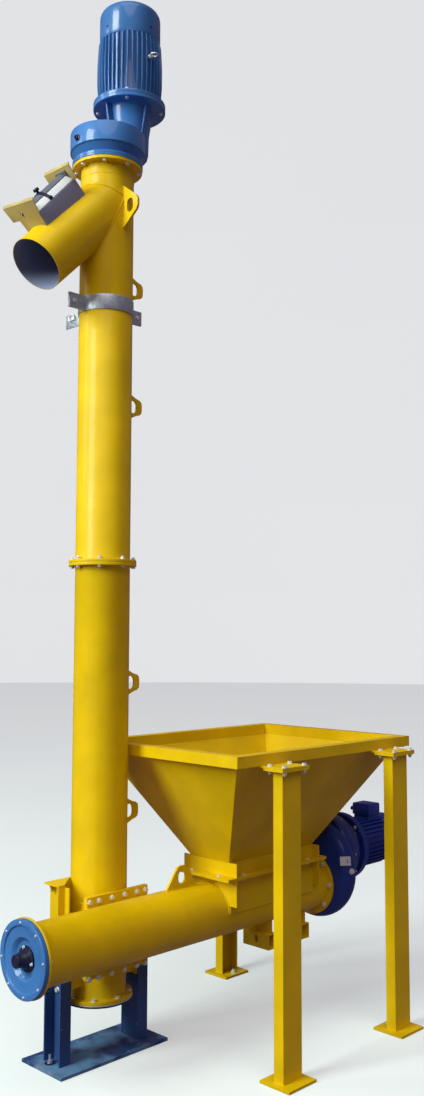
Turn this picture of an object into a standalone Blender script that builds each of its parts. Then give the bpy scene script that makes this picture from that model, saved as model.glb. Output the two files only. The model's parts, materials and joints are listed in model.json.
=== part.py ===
"""Vertical screw conveyor with a hopper-fed horizontal screw feeder, in metres, +Z up.

The origin is on the ground under the vertical screw's axis. +X runs along the feeder towards its
gear motor, and the feeder lies on the -Y side of the vertical tube. Left is -X, right is +X,
near is -Y and far is +Y.
"""

import math

import bmesh
import bpy
from mathutils import Matrix, Vector

# Clearance between two pieces that touch
GAP = 0.0003
# Sides of a round piece, and of a small one
ROUND = 40
SMALL = 20
# Overlap of two shapes that are welded into one solid
WELD = 0.0015

# Tubes, both 219 mm outside
TUBE_R = 0.1095
TUBE_WALL = 0.004
BORE_R = TUBE_R - TUBE_WALL
TUBE_FLANGE_R = 0.135
FLANGE_T = 0.012

# Levels of the vertical tube
TUBE_FOOT = 0.2133
MID_JOINT = 1.880
CLAMP_JOINT = 2.925
TUBE_TOP = 3.520
TOP_FLANGE_R = 0.1432
COVER_T = 0.012
COVER_R = 0.133

# Horizontal feeder
FEED_Y = -0.215
FEED_Z = 0.498
FEED_END = -0.487
FEED_DRIVE = 1.034
FEED_FLANGE_R = 0.1354
END_FLANGE_T = 0.008

# Bolted crossing between the two tubes, in the plane CROSS_Y
CROSS_Y = -0.1095
CROSS_Z = 0.470
CROSS_HALF = 0.150
CROSS_T = 0.009
PASS_HALF_X = 0.095
PASS_LOW = 0.450
PASS_HIGH = 0.546
DUCT_HALF_X = 0.130
DUCT_BACK = -0.040
DUCT_LOW = 0.390
DUCT_HIGH = 0.585
DUCT_WALL = 0.005

# Stand of the vertical tube
BASE_X = 0.522
BASE_Y = 0.244
BASE_T = 0.012
ANCHOR_X = 0.212
ANCHOR_Y = 0.012
ANCHOR_R = 0.009
COLUMN_IN = 0.165
COLUMN_DEPTH = 0.100
COLUMN_FLANGE = 0.050
COLUMN_T = 0.006
COLUMN_TOP = 0.500
BRACKET_LOW = 0.260
BRACKET_T = 0.006
RISE_X = 0.189
RISE_OUT = 0.217
RISE_HALF = 0.058
RISE_TOP = 0.660

# Hopper and its inlet box, centred on HOPPER_X and on the feeder's axis
HOPPER_X = 0.658
RIM_HALF_X = 0.546
RIM_HALF_Y = 0.422
RIM_TOP = 1.160
RIM_DEPTH = 0.043
RIM_WIDTH = 0.045
RIM_INNER_DEPTH = 0.045
SHEET_T = 0.004
THROAT_HALF_X = 0.260
THROAT_HALF_Y = 0.109
THROAT_TOP = 0.6955
WALL_RUN_T = 0.005
BOX_HALF_X = 0.2585
BOX_EAR = 0.149
BOX_T = 0.005
INLET_FLANGE_HALF_X = 0.306
INLET_FLANGE_HALF_Y = 0.1505
INLET_FLANGE_T = 0.006
INLET_JOINT = 0.6367
INLET_HOLE_X = 0.250
INLET_HOLE_Y = 0.098
EAR_FOOT = 0.5278

# Legs
LEG_X = 0.346
LEG_Y = 0.485
LEG_SPOTS = (("near_left", -1, -1), ("near_right", 1, -1), ("far_right", 1, 1))
LEG_WIDTH = 0.103
LEG_DEPTH = 0.045
LEG_T = 0.005
FOOT_X = 0.152
FOOT_Y = 0.140
FOOT_T = 0.010
HEAD_PLATE_T = 0.008
HEAD_X = 0.152
HEAD_OUT = 0.530
HEAD_IN_LOWER = 0.435
HEAD_IN_UPPER = 0.385

# Cross beams under the feeder tube
BEAM_X = (0.675, 0.890)
BEAM_WIDTH = 0.050
BEAM_HEIGHT = 0.062
BEAM_TOP = 0.353
BEAM_HALF = 0.072
BEAM_T = 0.004
SADDLE_TOP = 0.430
SADDLE_T = 0.006
SLOT_R = 0.010
SLOT_HALF = 0.016

# Branch of the discharge head, sloping down towards -X at 45 degrees
BRANCH_Z = 3.373
BRANCH_LENGTH = 0.495
HATCH_LENGTH = 0.250
HATCH_END = 0.388
HATCH_HALF = 0.0565
HATCH_TOP = 0.1503
HATCH_LEAN = 3.6
HATCH_WALL = 0.004
LID_RISE = 0.034
LID_SINK = 0.004
HATCH_PLATE_T = 0.004

# Lifting lugs
LUG_T = 0.010
SIDE_LUG_Z = (0.890, 1.402, 2.543, 3.045)
SIDE_LUG_HALF = 0.066
SIDE_LUG_REACH = 0.197
SIDE_LUG_HOLE_X = 0.150
SIDE_LUG_HOLE_R = 0.019
SIDE_LUG_HOLE_HALF = 0.008

# Clamp band round the vertical tube
BAND_LOW = 2.895
BAND_HIGH = 2.956
BAND_T = 0.004
BAND_EAR = 0.190
BAND_TAB = 0.265

# Screws
SHAFT_R = 0.030
FLIGHT_R = 0.093
FLIGHT_PITCH = 0.200
FLIGHT_T = 0.005
FLIGHT_STEPS = 12

# Finishes: colour, roughness, metallic
YELLOW = ("yellow_paint", (0.80, 0.52, 0.01), 0.30, 0.0)
BLUE = ("blue_paint", (0.03, 0.12, 0.35), 0.35, 0.0)
STAND_BLUE = ("stand_blue_paint", (0.025, 0.07, 0.20), 0.50, 0.0)
DARK = ("dark_paint", (0.03, 0.035, 0.05), 0.50, 0.0)
ZINC = ("zinc", (0.50, 0.53, 0.56), 0.40, 1.0)
GREY = ("hatch_grey", (0.10, 0.10, 0.13), 0.50, 0.0)
WHITE = ("lid_white", (0.75, 0.78, 0.78), 0.40, 0.0)
STEEL = ("screw_steel", (0.30, 0.29, 0.28), 0.50, 1.0)

TO_ORIGIN = Matrix.Identity(4)
# Local Z along the feeder, local X up
FEEDER = Matrix(((0, 0, 1, 0), (0, -1, 0, FEED_Y), (1, 0, 0, FEED_Z), (0, 0, 0, 1)))
SLOPE = math.sqrt(0.5)
# Local Z down the branch, local X out of its upper side
BRANCH = Matrix(((-SLOPE, 0, -SLOPE, 0), (0, 1, 0, 0), (SLOPE, 0, -SLOPE, BRANCH_Z), (0, 0, 0, 1)))
HATCH = BRANCH @ Matrix.Translation((HATCH_TOP, 0, HATCH_END)) @ Matrix.Rotation(
    math.radians(-HATCH_LEAN), 4, "Y")


def clear_scene():
    for old in list(bpy.data.objects):
        bpy.data.objects.remove(old)


def material(finish):
    name, colour, roughness, metallic = finish
    made = bpy.data.materials.get(name)
    if made:
        return made
    made = bpy.data.materials.new(name)
    made.use_nodes = True
    shader = made.node_tree.nodes["Principled BSDF"]
    shader.inputs["Base Color"].default_value = (*colour, 1.0)
    shader.inputs["Roughness"].default_value = roughness
    shader.inputs["Metallic"].default_value = metallic
    return made


def as_object(name, bm, finish, frame=TO_ORIGIN):
    """A mesh object from a bmesh, placed by a frame."""
    mesh = bpy.data.meshes.new(name)
    bmesh.ops.recalc_face_normals(bm, faces=bm.faces)
    bm.to_mesh(mesh)
    bm.free()
    mesh.shade_smooth()
    mesh.set_sharp_from_angle(angle=math.radians(35))
    mesh.materials.append(material(finish))
    made = bpy.data.objects.new(name, mesh)
    made.matrix_world = frame
    bpy.context.scene.collection.objects.link(made)
    return made


def block(low, high):
    """A rectangular block between two corners."""
    bm = bmesh.new()
    bmesh.ops.create_cube(bm, size=1.0)
    size = [b - a for a, b in zip(low, high)]
    centre = [(a + b) / 2 for a, b in zip(low, high)]
    bmesh.ops.scale(bm, vec=size, verts=bm.verts)
    bmesh.ops.translate(bm, vec=centre, verts=bm.verts)
    return bm


def prism(outline, low, high):
    """An outline in local X and Y, extruded along local Z."""
    bm = bmesh.new()
    face = bm.faces.new([bm.verts.new((x, y, low)) for x, y in outline])
    grown = bmesh.ops.extrude_face_region(bm, geom=[face])["geom"]
    moved = [item for item in grown if isinstance(item, bmesh.types.BMVert)]
    bmesh.ops.translate(bm, vec=(0, 0, high - low), verts=moved)
    return bm


def turned(profile, segments=ROUND, offset=0.0):
    """A solid turned about local Z from (radius, height) points; both ends may lie on the axis."""
    bm = bmesh.new()
    verts = [bm.verts.new((radius, 0, height)) for radius, height in profile]
    pairs = list(zip(verts, verts[1:]))
    if profile[0][0] > 0:
        pairs.append((verts[-1], verts[0]))
    edges = [bm.edges.new(pair) for pair in pairs]
    bmesh.ops.spin(bm, geom=verts + edges, axis=(0, 0, 1), cent=(0, 0, 0), angle=math.tau,
                   steps=segments, use_merge=True)
    bmesh.ops.remove_doubles(bm, verts=bm.verts, dist=0.000001)
    bmesh.ops.translate(bm, vec=(offset, 0, 0), verts=bm.verts)
    return bm


def rod(radius, low, high, segments=ROUND, offset=0.0):
    return turned([(0, low), (radius, low), (radius, high), (0, high)], segments, offset)


def arc(centre, radius, start, end, steps):
    """Points on an arc, angles in degrees."""
    points = []
    for step in range(steps + 1):
        angle = math.radians(start + (end - start) * step / steps)
        points.append((centre[0] + radius * math.cos(angle), centre[1] + radius * math.sin(angle)))
    return points


def slot(centre, radius, half, steps=8):
    """Outline of a slot that is longer along its second axis."""
    x, y = centre
    upper = arc((x, y + half), radius, 0, 180, steps)
    lower = arc((x, y - half), radius, 180, 360, steps)
    return upper + lower


def plane_xz(y):
    """Frame whose local X and Y are world X and Z, with local Z along -Y from the plane y."""
    return Matrix(((1, 0, 0, 0), (0, 0, -1, y), (0, 1, 0, 0), (0, 0, 0, 1)))


def plane_yz(x):
    """Frame whose local X and Y are world Y and Z, with local Z along +X from the plane x."""
    return Matrix(((0, 0, 1, x), (1, 0, 0, 0), (0, 1, 0, 0), (0, 0, 0, 1)))


def shape(target, bm, operation, frame=TO_ORIGIN):
    """Cut a shape from a piece, or weld it on."""
    tool = as_object(f"{target.name}_{operation.lower()}_{len(target.modifiers)}", bm, GREY, frame)
    tool.hide_render = True
    tool.display_type = "WIRE"
    change = target.modifiers.new(tool.name, "BOOLEAN")
    change.operation = operation
    change.solver = "EXACT"
    change.object = tool


def cut(target, bm, frame=TO_ORIGIN):
    shape(target, bm, "DIFFERENCE", frame)


def weld(target, bm, frame=TO_ORIGIN):
    shape(target, bm, "UNION", frame)


def channel_outline(width, depth, thickness):
    """U section, web along X at Y=0, flanges towards +Y, centred on X."""
    half = width / 2
    inner = half - thickness
    return [(-half, 0), (half, 0), (half, depth), (inner, depth), (inner, thickness),
            (-inner, thickness), (-inner, depth), (-half, depth)]


def turn_z(degrees, x=0.0, y=0.0):
    return Matrix.Translation((x, y, 0)) @ Matrix.Rotation(math.radians(degrees), 4, "Z")


def stand():
    """Base plate, two columns and the brackets that carry the vertical tube."""
    base = as_object("base_plate", block((-BASE_X / 2, -BASE_Y / 2, 0),
                                         (BASE_X / 2, BASE_Y / 2, BASE_T)), STAND_BLUE)
    for side in (-1, 1):
        hole = rod(ANCHOR_R, -WELD, BASE_T + WELD, 12)
        cut(base, hole, Matrix.Translation((side * ANCHOR_X, ANCHOR_Y, 0)))
    for side, word in ((-1, "left"), (1, "right")):
        section = channel_outline(COLUMN_DEPTH, COLUMN_FLANGE, COLUMN_T)
        frame = turn_z(-90 * side, side * COLUMN_IN)
        as_object(f"stand_column_{word}", prism(section, BASE_T + GAP, COLUMN_TOP), STAND_BLUE, frame)
        bracket(side, word)


def bracket(side, word):
    """Plate bolted behind a column's web, with ribs to the tube; the left one rises above its column."""
    rises = side < 0
    face = COLUMN_IN - GAP
    back = face - BRACKET_T
    half = COLUMN_DEPTH / 2 - 0.006
    top = COLUMN_TOP - 0.010
    rib_top = COLUMN_TOP + 0.035 if rises else top - 0.006

    def slab(x_low, x_high, y_low, y_high, z_low, z_high):
        xs = sorted((side * x_low, side * x_high))
        return block((xs[0], y_low, z_low), (xs[1], y_high, z_high))

    made = as_object(f"tube_bracket_{word}", slab(back, face, -half, half, BRACKET_LOW, top), YELLOW)
    low = COLUMN_TOP + 0.003
    for row in (-1, 1):
        ys = sorted((row * 0.028, row * 0.034))
        weld(made, slab(0.090, back + WELD, ys[0], ys[1], BRACKET_LOW + 0.012, rib_top))
        if rises:
            weld(made, slab(back, RISE_X - 0.0005, ys[0] + 0.0005, ys[1] - 0.0005, low, rib_top + 0.001))
    if rises:
        weld(made, slab(RISE_X - BRACKET_T, RISE_X, -RISE_HALF, RISE_HALF, low + 0.0005, RISE_TOP - 0.010))
        weld(made, slab(0.070, RISE_X - 0.001, 0.0515, 0.0575, low + 0.0015, RISE_TOP - 0.003))
        weld(made, slab(RISE_X - 0.002, RISE_OUT, -0.030, -0.025, low + 0.001, RISE_TOP - 0.003))
        lip = [(-RISE_X + 0.002, RISE_TOP - 0.003), (-RISE_OUT, RISE_TOP - 0.003),
               (-RISE_OUT + 0.011, RISE_TOP - 0.031), (-RISE_X + 0.002, RISE_TOP - 0.031)]
        weld(made, prism(lip, 0, 0.005), plane_xz(0.030))
        roof = [(-RISE_OUT - 0.0005, -0.031), (-RISE_X - 0.0015, -0.031), (-0.1070, 0.0505),
                (-0.060, 0.0505), (-0.060, 0.0590), (-RISE_OUT - 0.0005, 0.0590)]
        weld(made, prism(roof, RISE_TOP - 0.006, RISE_TOP))
    cut(made, rod(TUBE_R + GAP, 0.1, 0.9))


def vertical_tube():
    """Bottom cover, two flanged tube lengths and the discharge head."""
    as_object("bottom_cover", rod(TUBE_FLANGE_R, TUBE_FOOT - GAP - COVER_T, TUBE_FOOT - GAP), DARK)
    joint = MID_JOINT - GAP / 2
    lower = as_object("lower_tube", turned([
        (BORE_R, TUBE_FOOT), (TUBE_FLANGE_R, TUBE_FOOT), (TUBE_FLANGE_R, TUBE_FOOT + FLANGE_T),
        (TUBE_R, TUBE_FOOT + FLANGE_T), (TUBE_R, joint - FLANGE_T), (TUBE_FLANGE_R, joint - FLANGE_T),
        (TUBE_FLANGE_R, joint), (BORE_R, joint)]), YELLOW)
    cut(lower, block((-0.080, -0.2, PASS_LOW), (0.080, -0.05, PASS_HIGH)))
    cut(lower, block((-CROSS_HALF, -0.2, CROSS_Z - CROSS_HALF - GAP),
                     (CROSS_HALF, CROSS_Y + CROSS_T + GAP, CROSS_Z + CROSS_HALF + GAP)))
    joint = MID_JOINT + GAP / 2
    clamp_joint = CLAMP_JOINT - GAP / 2
    as_object("upper_tube", turned([
        (BORE_R, joint), (TUBE_FLANGE_R, joint), (TUBE_FLANGE_R, joint + FLANGE_T),
        (TUBE_R, joint + FLANGE_T), (TUBE_R, clamp_joint), (BORE_R, clamp_joint)]), YELLOW)
    low = CLAMP_JOINT + GAP / 2
    head = as_object("discharge_head", turned([
        (0, low), (TUBE_R, low), (TUBE_R, TUBE_TOP - FLANGE_T), (TOP_FLANGE_R, TUBE_TOP - FLANGE_T),
        (TOP_FLANGE_R, TUBE_TOP), (0, TUBE_TOP)]), YELLOW)
    weld(head, rod(TUBE_R, 0, BRANCH_LENGTH), BRANCH)
    cut(head, rod(BORE_R, low - WELD, TUBE_TOP + WELD))
    cut(head, rod(BORE_R, 0, BRANCH_LENGTH + WELD), BRANCH)
    cut(head, block((BORE_R / 2, -0.04, HATCH_END - HATCH_LENGTH + 0.02),
                    (0.2, 0.04, HATCH_END - 0.02)), BRANCH)


def hatch():
    """Inspection hatch on the branch's upper side: box, arched lid and two end plates."""
    box = as_object("hatch_frame", block((-0.100, -HATCH_HALF, -HATCH_LENGTH), (0, HATCH_HALF, 0)),
                    GREY, HATCH)
    cut(box, block((-0.110, -HATCH_HALF + HATCH_WALL, -HATCH_LENGTH + HATCH_WALL),
                   (WELD, HATCH_HALF - HATCH_WALL, -HATCH_WALL)), HATCH)
    cut(box, rod(TUBE_R + GAP, 0, BRANCH_LENGTH), BRANCH)
    half = HATCH_HALF - 0.004
    steps = 10
    crown = []
    for step in range(steps + 1):
        across = -half + 2 * half * step / steps
        crown.append((GAP + LID_SINK + LID_RISE * (1 - (across / half) ** 2), across))
    outline = [(GAP, -half)] + crown + [(GAP, half)]
    as_object("hatch_lid", prism(outline, 0.003 - HATCH_LENGTH, -0.003), WHITE, HATCH)
    lower = [(0.058, -0.0735), (-0.012, -0.0565), (-0.090, -0.0565), (-0.090, 0.0585), (0.003, 0.062),
             (0.008, 0.100), (0.076, 0.106)]
    upper = [(0.064, -0.074), (-0.001, -0.074), (-0.005, -0.0565), (-0.110, -0.0565), (-0.110, 0.0565),
             (-0.001, 0.0565), (0.014, 0.083), (0.066, 0.083)]
    plate = as_object("hatch_plate_lower", prism(lower, GAP, GAP + HATCH_PLATE_T), YELLOW, HATCH)
    cut(plate, rod(TUBE_R + GAP, 0, BRANCH_LENGTH), BRANCH)
    hole = [(b, a) for a, b in reversed(slot((0.026, 0.0204), 0.0045, 0.0105))]
    cut(plate, prism(hole, -WELD, 0.02), HATCH)
    start = -HATCH_LENGTH - GAP
    plate = as_object("hatch_plate_upper", prism(upper, start - HATCH_PLATE_T, start), YELLOW, HATCH)
    cut(plate, rod(TUBE_R + GAP, 0, BRANCH_LENGTH), BRANCH)


def lugs():
    """Side lugs along the tube, the head's lug and the feeder's lug."""
    half_t = LUG_T / 2
    for number, z in enumerate(SIDE_LUG_Z, 1):
        corner = SIDE_LUG_REACH - 0.030
        outline = [(TUBE_R - 0.006, z - SIDE_LUG_HALF), (corner, z - 0.036)]
        outline += arc((corner, z), 0.036, -80, 80, 8)[1:-1]
        outline += [(corner, z + 0.036), (TUBE_R - 0.006, z + SIDE_LUG_HALF)]
        outline = [(min(x, SIDE_LUG_REACH), y) for x, y in outline]
        lug = as_object(f"tube_lug_{number}", prism(outline, -half_t, half_t), YELLOW, plane_xz(0))
        hole = slot((SIDE_LUG_HOLE_X, z), SIDE_LUG_HOLE_R, SIDE_LUG_HOLE_HALF)
        cut(lug, prism(hole, -LUG_T, LUG_T), plane_xz(0))
        cut(lug, rod(TUBE_R + GAP, 0.5, 3.5))
    outline = [(-TUBE_R + 0.006, 3.419), (-TUBE_R + 0.006, 3.234), (-0.190, 3.298), (-0.197, 3.312),
               (-0.197, 3.340), (-0.190, 3.354), (-0.162, 3.376), (-0.116, 3.412)]
    lug = as_object("top_lug", prism(outline, -half_t, half_t), YELLOW, plane_yz(0))
    cut(lug, prism(slot((-0.150, 3.325), 0.018, 0.011), -LUG_T, LUG_T), plane_yz(0))
    cut(lug, rod(TUBE_R + GAP, 3.0, 3.5))
    cut(lug, rod(TUBE_R + GAP, -0.2, BRANCH_LENGTH), BRANCH)
    outline = [(0.150, FEED_Z + TUBE_R - 0.01), (0.322, FEED_Z + TUBE_R - 0.01), (0.278, 0.676),
               (0.268, 0.688), (0.254, 0.694), (0.230, 0.694), (0.217, 0.688), (0.207, 0.676)]
    lug = as_object("feeder_lug", prism(outline, -half_t, half_t), YELLOW, plane_xz(FEED_Y))
    cut(lug, prism(slot((0.240, 0.650), 0.019, 0.006), -LUG_T, LUG_T), plane_xz(FEED_Y))
    cut(lug, rod(TUBE_R + GAP, -0.3, 0.8), FEEDER)


def clamp():
    """Two clamp halves round the tube's upper joint, with ears on both sides and a tab behind."""
    for side, word in ((-1, "front"), (1, "back")):
        ring = turned([(TUBE_R + GAP, BAND_LOW), (TUBE_R + BAND_T, BAND_LOW),
                       (TUBE_R + BAND_T, BAND_HIGH), (TUBE_R + GAP, BAND_HIGH)])
        made = as_object(f"clamp_{word}", ring, ZINC)
        ys = sorted((side * GAP, side * 0.2 * -1))
        cut(made, block((-0.2, ys[0], BAND_LOW - WELD), (0.2, ys[1], BAND_HIGH + WELD)))
        faces = sorted((side * (GAP + 0.0001), side * (GAP + 0.005)))
        for end in (-1, 1):
            xs = sorted((end * (TUBE_R + 0.0015), end * BAND_EAR))
            weld(made, block((xs[0], faces[0], BAND_LOW + 0.0005), (xs[1], faces[1], BAND_HIGH - 0.0005)))
        if side > 0:
            weld(made, block((-0.0025, TUBE_R + 0.0015, BAND_LOW + 0.0005),
                             (0.0025, BAND_TAB, BAND_HIGH - 0.0005)))


def crossing():
    """Flanged duct on the vertical tube, and the flange on the feeder that bolts to it."""
    back = CROSS_Y + GAP / 2
    duct = as_object("crossing_duct", block((-DUCT_HALF_X, back + CROSS_T - WELD, DUCT_LOW),
                                            (DUCT_HALF_X, DUCT_BACK, DUCT_HIGH)), YELLOW)
    inner = DUCT_HALF_X - DUCT_WALL
    cut(duct, block((-inner, back, DUCT_LOW + DUCT_WALL),
                    (inner, DUCT_BACK - DUCT_WALL, DUCT_HIGH - DUCT_WALL)))
    cut(duct, rod(TUBE_R + GAP, 0.1, 0.9))
    weld(duct, block((-CROSS_HALF, back, CROSS_Z - CROSS_HALF),
                     (CROSS_HALF, back + CROSS_T, CROSS_Z + CROSS_HALF)))
    passage = block((-PASS_HALF_X, -0.2, PASS_LOW), (PASS_HALF_X, CROSS_Y + CROSS_T + 0.01, PASS_HIGH))
    cut(duct, passage)
    front = CROSS_Y - GAP / 2
    flange = as_object("crossing_flange", block((-CROSS_HALF, front - CROSS_T, CROSS_Z - CROSS_HALF),
                                                (CROSS_HALF, front, CROSS_Z + CROSS_HALF)), YELLOW)
    passage = block((-PASS_HALF_X, -0.2, PASS_LOW), (PASS_HALF_X, 0, PASS_HIGH))
    cut(flange, passage)


def feeder():
    """Feeder tube with its end cover, seal and inlet box."""
    start = FEED_END + GAP
    tube = as_object("feeder_tube", turned([
        (BORE_R, start), (FEED_FLANGE_R, start), (FEED_FLANGE_R, start + END_FLANGE_T),
        (TUBE_R, start + END_FLANGE_T), (TUBE_R, FEED_DRIVE - FLANGE_T),
        (FEED_FLANGE_R, FEED_DRIVE - FLANGE_T), (FEED_FLANGE_R, FEED_DRIVE),
        (BORE_R, FEED_DRIVE)]), YELLOW, FEEDER)
    side = CROSS_HALF + GAP
    cut(tube, block((-side, CROSS_Y - CROSS_T - GAP, 0.3), (side, 0, 0.7)))
    cut(tube, block((HOPPER_X - INLET_HOLE_X + 0.01, FEED_Y - 0.085, FEED_Z),
                    (HOPPER_X + INLET_HOLE_X - 0.01, FEED_Y + 0.085, 0.7)))
    face = FEED_END - 0.0185
    floor = FEED_END + 0.003
    as_object("feeder_end_cover", turned([
        (0, FEED_END + 0.011), (0.100, FEED_END + 0.011), (0.104, FEED_END + 0.007), (0.104, FEED_END),
        (COVER_R, FEED_END), (COVER_R, face + 0.002), (COVER_R - 0.002, face),
        (0.114, face), (0.110, face + 0.006), (0.072, face + 0.006), (0.060, floor),
        (0, floor)]), BLUE, FEEDER)
    seat = floor - GAP
    as_object("feeder_seal", turned([
        (0, seat), (0.041, seat), (0.041, seat - 0.008), (0.034, seat - 0.010), (0.026, seat - 0.030),
        (0.0235, seat - 0.036), (0.0230, seat - 0.0485), (0.0215, seat - 0.0495),
        (0, seat - 0.0495)], SMALL), DARK, FEEDER)


def framed_plate(name, low, high):
    """Flange plate with the inlet's rectangular hole."""
    made = as_object(name, block((HOPPER_X - INLET_FLANGE_HALF_X, FEED_Y - INLET_FLANGE_HALF_Y, low),
                                 (HOPPER_X + INLET_FLANGE_HALF_X, FEED_Y + INLET_FLANGE_HALF_Y, high)),
                     YELLOW)
    cut(made, block((HOPPER_X - INLET_HOLE_X, FEED_Y - INLET_HOLE_Y, low - WELD),
                    (HOPPER_X + INLET_HOLE_X, FEED_Y + INLET_HOLE_Y, high + WELD)))
    return made


def inlet():
    """Inlet box on the feeder, and the collar under the hopper that bolts to it."""
    joint = INLET_JOINT - GAP / 2
    box = framed_plate("inlet_spout", joint - INLET_FLANGE_T, joint)
    weld_top = joint - INLET_FLANGE_T + WELD
    for end in (-1, 1):
        xs = sorted((HOPPER_X + end * BOX_HALF_X, HOPPER_X + end * (BOX_HALF_X - BOX_T)))
        weld(box, block((xs[0], FEED_Y - BOX_EAR, EAR_FOOT), (xs[1], FEED_Y + BOX_EAR, weld_top)))
    for row in (-1, 1):
        ys = sorted((FEED_Y + row * (TUBE_R + GAP), FEED_Y + row * (TUBE_R + GAP + BOX_T)))
        weld(box, block((HOPPER_X - BOX_HALF_X + WELD, ys[0], FEED_Z),
                        (HOPPER_X + BOX_HALF_X - WELD, ys[1], weld_top)))
    cut(box, rod(TUBE_R + GAP, 0.2, 1.1), FEEDER)
    joint = INLET_JOINT + GAP / 2
    collar = framed_plate("hopper_collar", joint, joint + INLET_FLANGE_T)
    weld_low = joint + INLET_FLANGE_T - WELD
    for end in (-1, 1):
        xs = sorted((HOPPER_X + end * BOX_HALF_X, HOPPER_X + end * (BOX_HALF_X - BOX_T)))
        weld(collar, block((xs[0], FEED_Y - BOX_EAR, weld_low), (xs[1], FEED_Y + BOX_EAR, THROAT_TOP)))
    for row in (-1, 1):
        ys = sorted((FEED_Y + row * (THROAT_HALF_Y + 0.001), FEED_Y + row * (THROAT_HALF_Y - 0.004)))
        weld(collar, block((HOPPER_X - BOX_HALF_X + WELD, ys[0], weld_low),
                           (HOPPER_X + BOX_HALF_X - WELD, ys[1], THROAT_TOP - 0.0002)))


def hopper():
    """Four sloping walls and the folded rim above them."""
    inset = RIM_WIDTH - SHEET_T
    top = RIM_TOP - RIM_INNER_DEPTH - GAP
    low = THROAT_TOP + GAP
    upper_half = (RIM_HALF_X - inset, RIM_HALF_Y - inset)
    lower_half = (THROAT_HALF_X, THROAT_HALF_Y)
    for word, axis, side in (("left", 0, -1), ("right", 0, 1), ("near", 1, -1), ("far", 1, 1)):
        bm = bmesh.new()
        for height, half in ((top, upper_half), (low, lower_half)):
            for inward in (0, WALL_RUN_T):
                across = side * (half[axis] - inward)
                along = half[1 - axis] - inward - GAP
                for end in (-1, 1):
                    point = [0, 0, height]
                    point[axis] = across
                    point[1 - axis] = end * along
                    bm.verts.new((point[0] + HOPPER_X, point[1] + FEED_Y, height))
        bmesh.ops.convex_hull(bm, input=bm.verts)
        as_object(f"hopper_wall_{word}", bm, YELLOW)
    for word, side in (("left", -1), ("right", 1)):
        rim_side(word, side)
    for word, side in (("near", -1), ("far", 1)):
        rim_front(word, side)


def rim_outline():
    """Folded rim, seen along its length: X from the outer face inwards, Y is height."""
    outer = RIM_TOP - RIM_DEPTH
    inner = RIM_TOP - RIM_INNER_DEPTH
    return [(0, outer), (SHEET_T, outer), (SHEET_T, RIM_TOP - SHEET_T),
            (RIM_WIDTH - SHEET_T, RIM_TOP - SHEET_T), (RIM_WIDTH - SHEET_T, inner),
            (RIM_WIDTH, inner), (RIM_WIDTH, RIM_TOP), (0, RIM_TOP)]


def rim_side(word, side):
    """Left or right rim, full length with closed ends."""
    outline = [(HOPPER_X + side * (RIM_HALF_X - x), y) for x, y in rim_outline()]
    frame = plane_xz(FEED_Y)
    made = as_object(f"hopper_rim_{word}", prism(outline, -RIM_HALF_Y, RIM_HALF_Y), YELLOW, frame)
    xs = sorted((HOPPER_X + side * (RIM_HALF_X - 0.001), HOPPER_X + side * (RIM_HALF_X - RIM_WIDTH + 0.001)))
    for end in (-1, 1):
        ys = sorted((FEED_Y + end * (RIM_HALF_Y - 0.0005), FEED_Y + end * (RIM_HALF_Y - SHEET_T)))
        weld(made, block((xs[0], ys[0], RIM_TOP - RIM_DEPTH + 0.0005), (xs[1], ys[1], RIM_TOP - 0.0005)))


def rim_front(word, side):
    """Near or far rim between the side rims, with the plates that bolt to the legs."""
    outline = [(FEED_Y + side * (RIM_HALF_Y - x), y) for x, y in rim_outline()]
    half = RIM_HALF_X - RIM_WIDTH - GAP
    made = as_object(f"hopper_rim_{word}", prism(outline, HOPPER_X - half, HOPPER_X + half), YELLOW,
                     plane_yz(0))
    top = RIM_TOP - RIM_DEPTH + WELD
    for end in [end for _, end, row in LEG_SPOTS if row == side]:
        x = HOPPER_X + end * LEG_X
        ys = sorted((FEED_Y + side * HEAD_IN_UPPER, FEED_Y + side * HEAD_OUT))
        weld(made, block((x - HEAD_X / 2, ys[0], top - HEAD_PLATE_T), (x + HEAD_X / 2, ys[1], top)))


def legs():
    """Three channel legs with foot and head plates, open sides facing inwards."""
    head_top = RIM_TOP - RIM_DEPTH + WELD - HEAD_PLATE_T - GAP
    for word, end, side in LEG_SPOTS:
        x = HOPPER_X + end * LEG_X
        y = FEED_Y + side * LEG_Y
        section = channel_outline(LEG_WIDTH, LEG_DEPTH, LEG_T)
        frame = turn_z(0 if side < 0 else 180, x, y + side * LEG_DEPTH / 2)
        leg = as_object(f"leg_{word}", prism(section, FOOT_T / 2, head_top - HEAD_PLATE_T / 2), YELLOW, frame)
        weld(leg, block((x - FOOT_X / 2, y - FOOT_Y / 2, 0), (x + FOOT_X / 2, y + FOOT_Y / 2, FOOT_T)))
        ys = sorted((FEED_Y + side * HEAD_IN_LOWER, FEED_Y + side * HEAD_OUT))
        weld(leg, block((x - HEAD_X / 2, ys[0], head_top - HEAD_PLATE_T),
                        (x + HEAD_X / 2, ys[1], head_top)))


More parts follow.
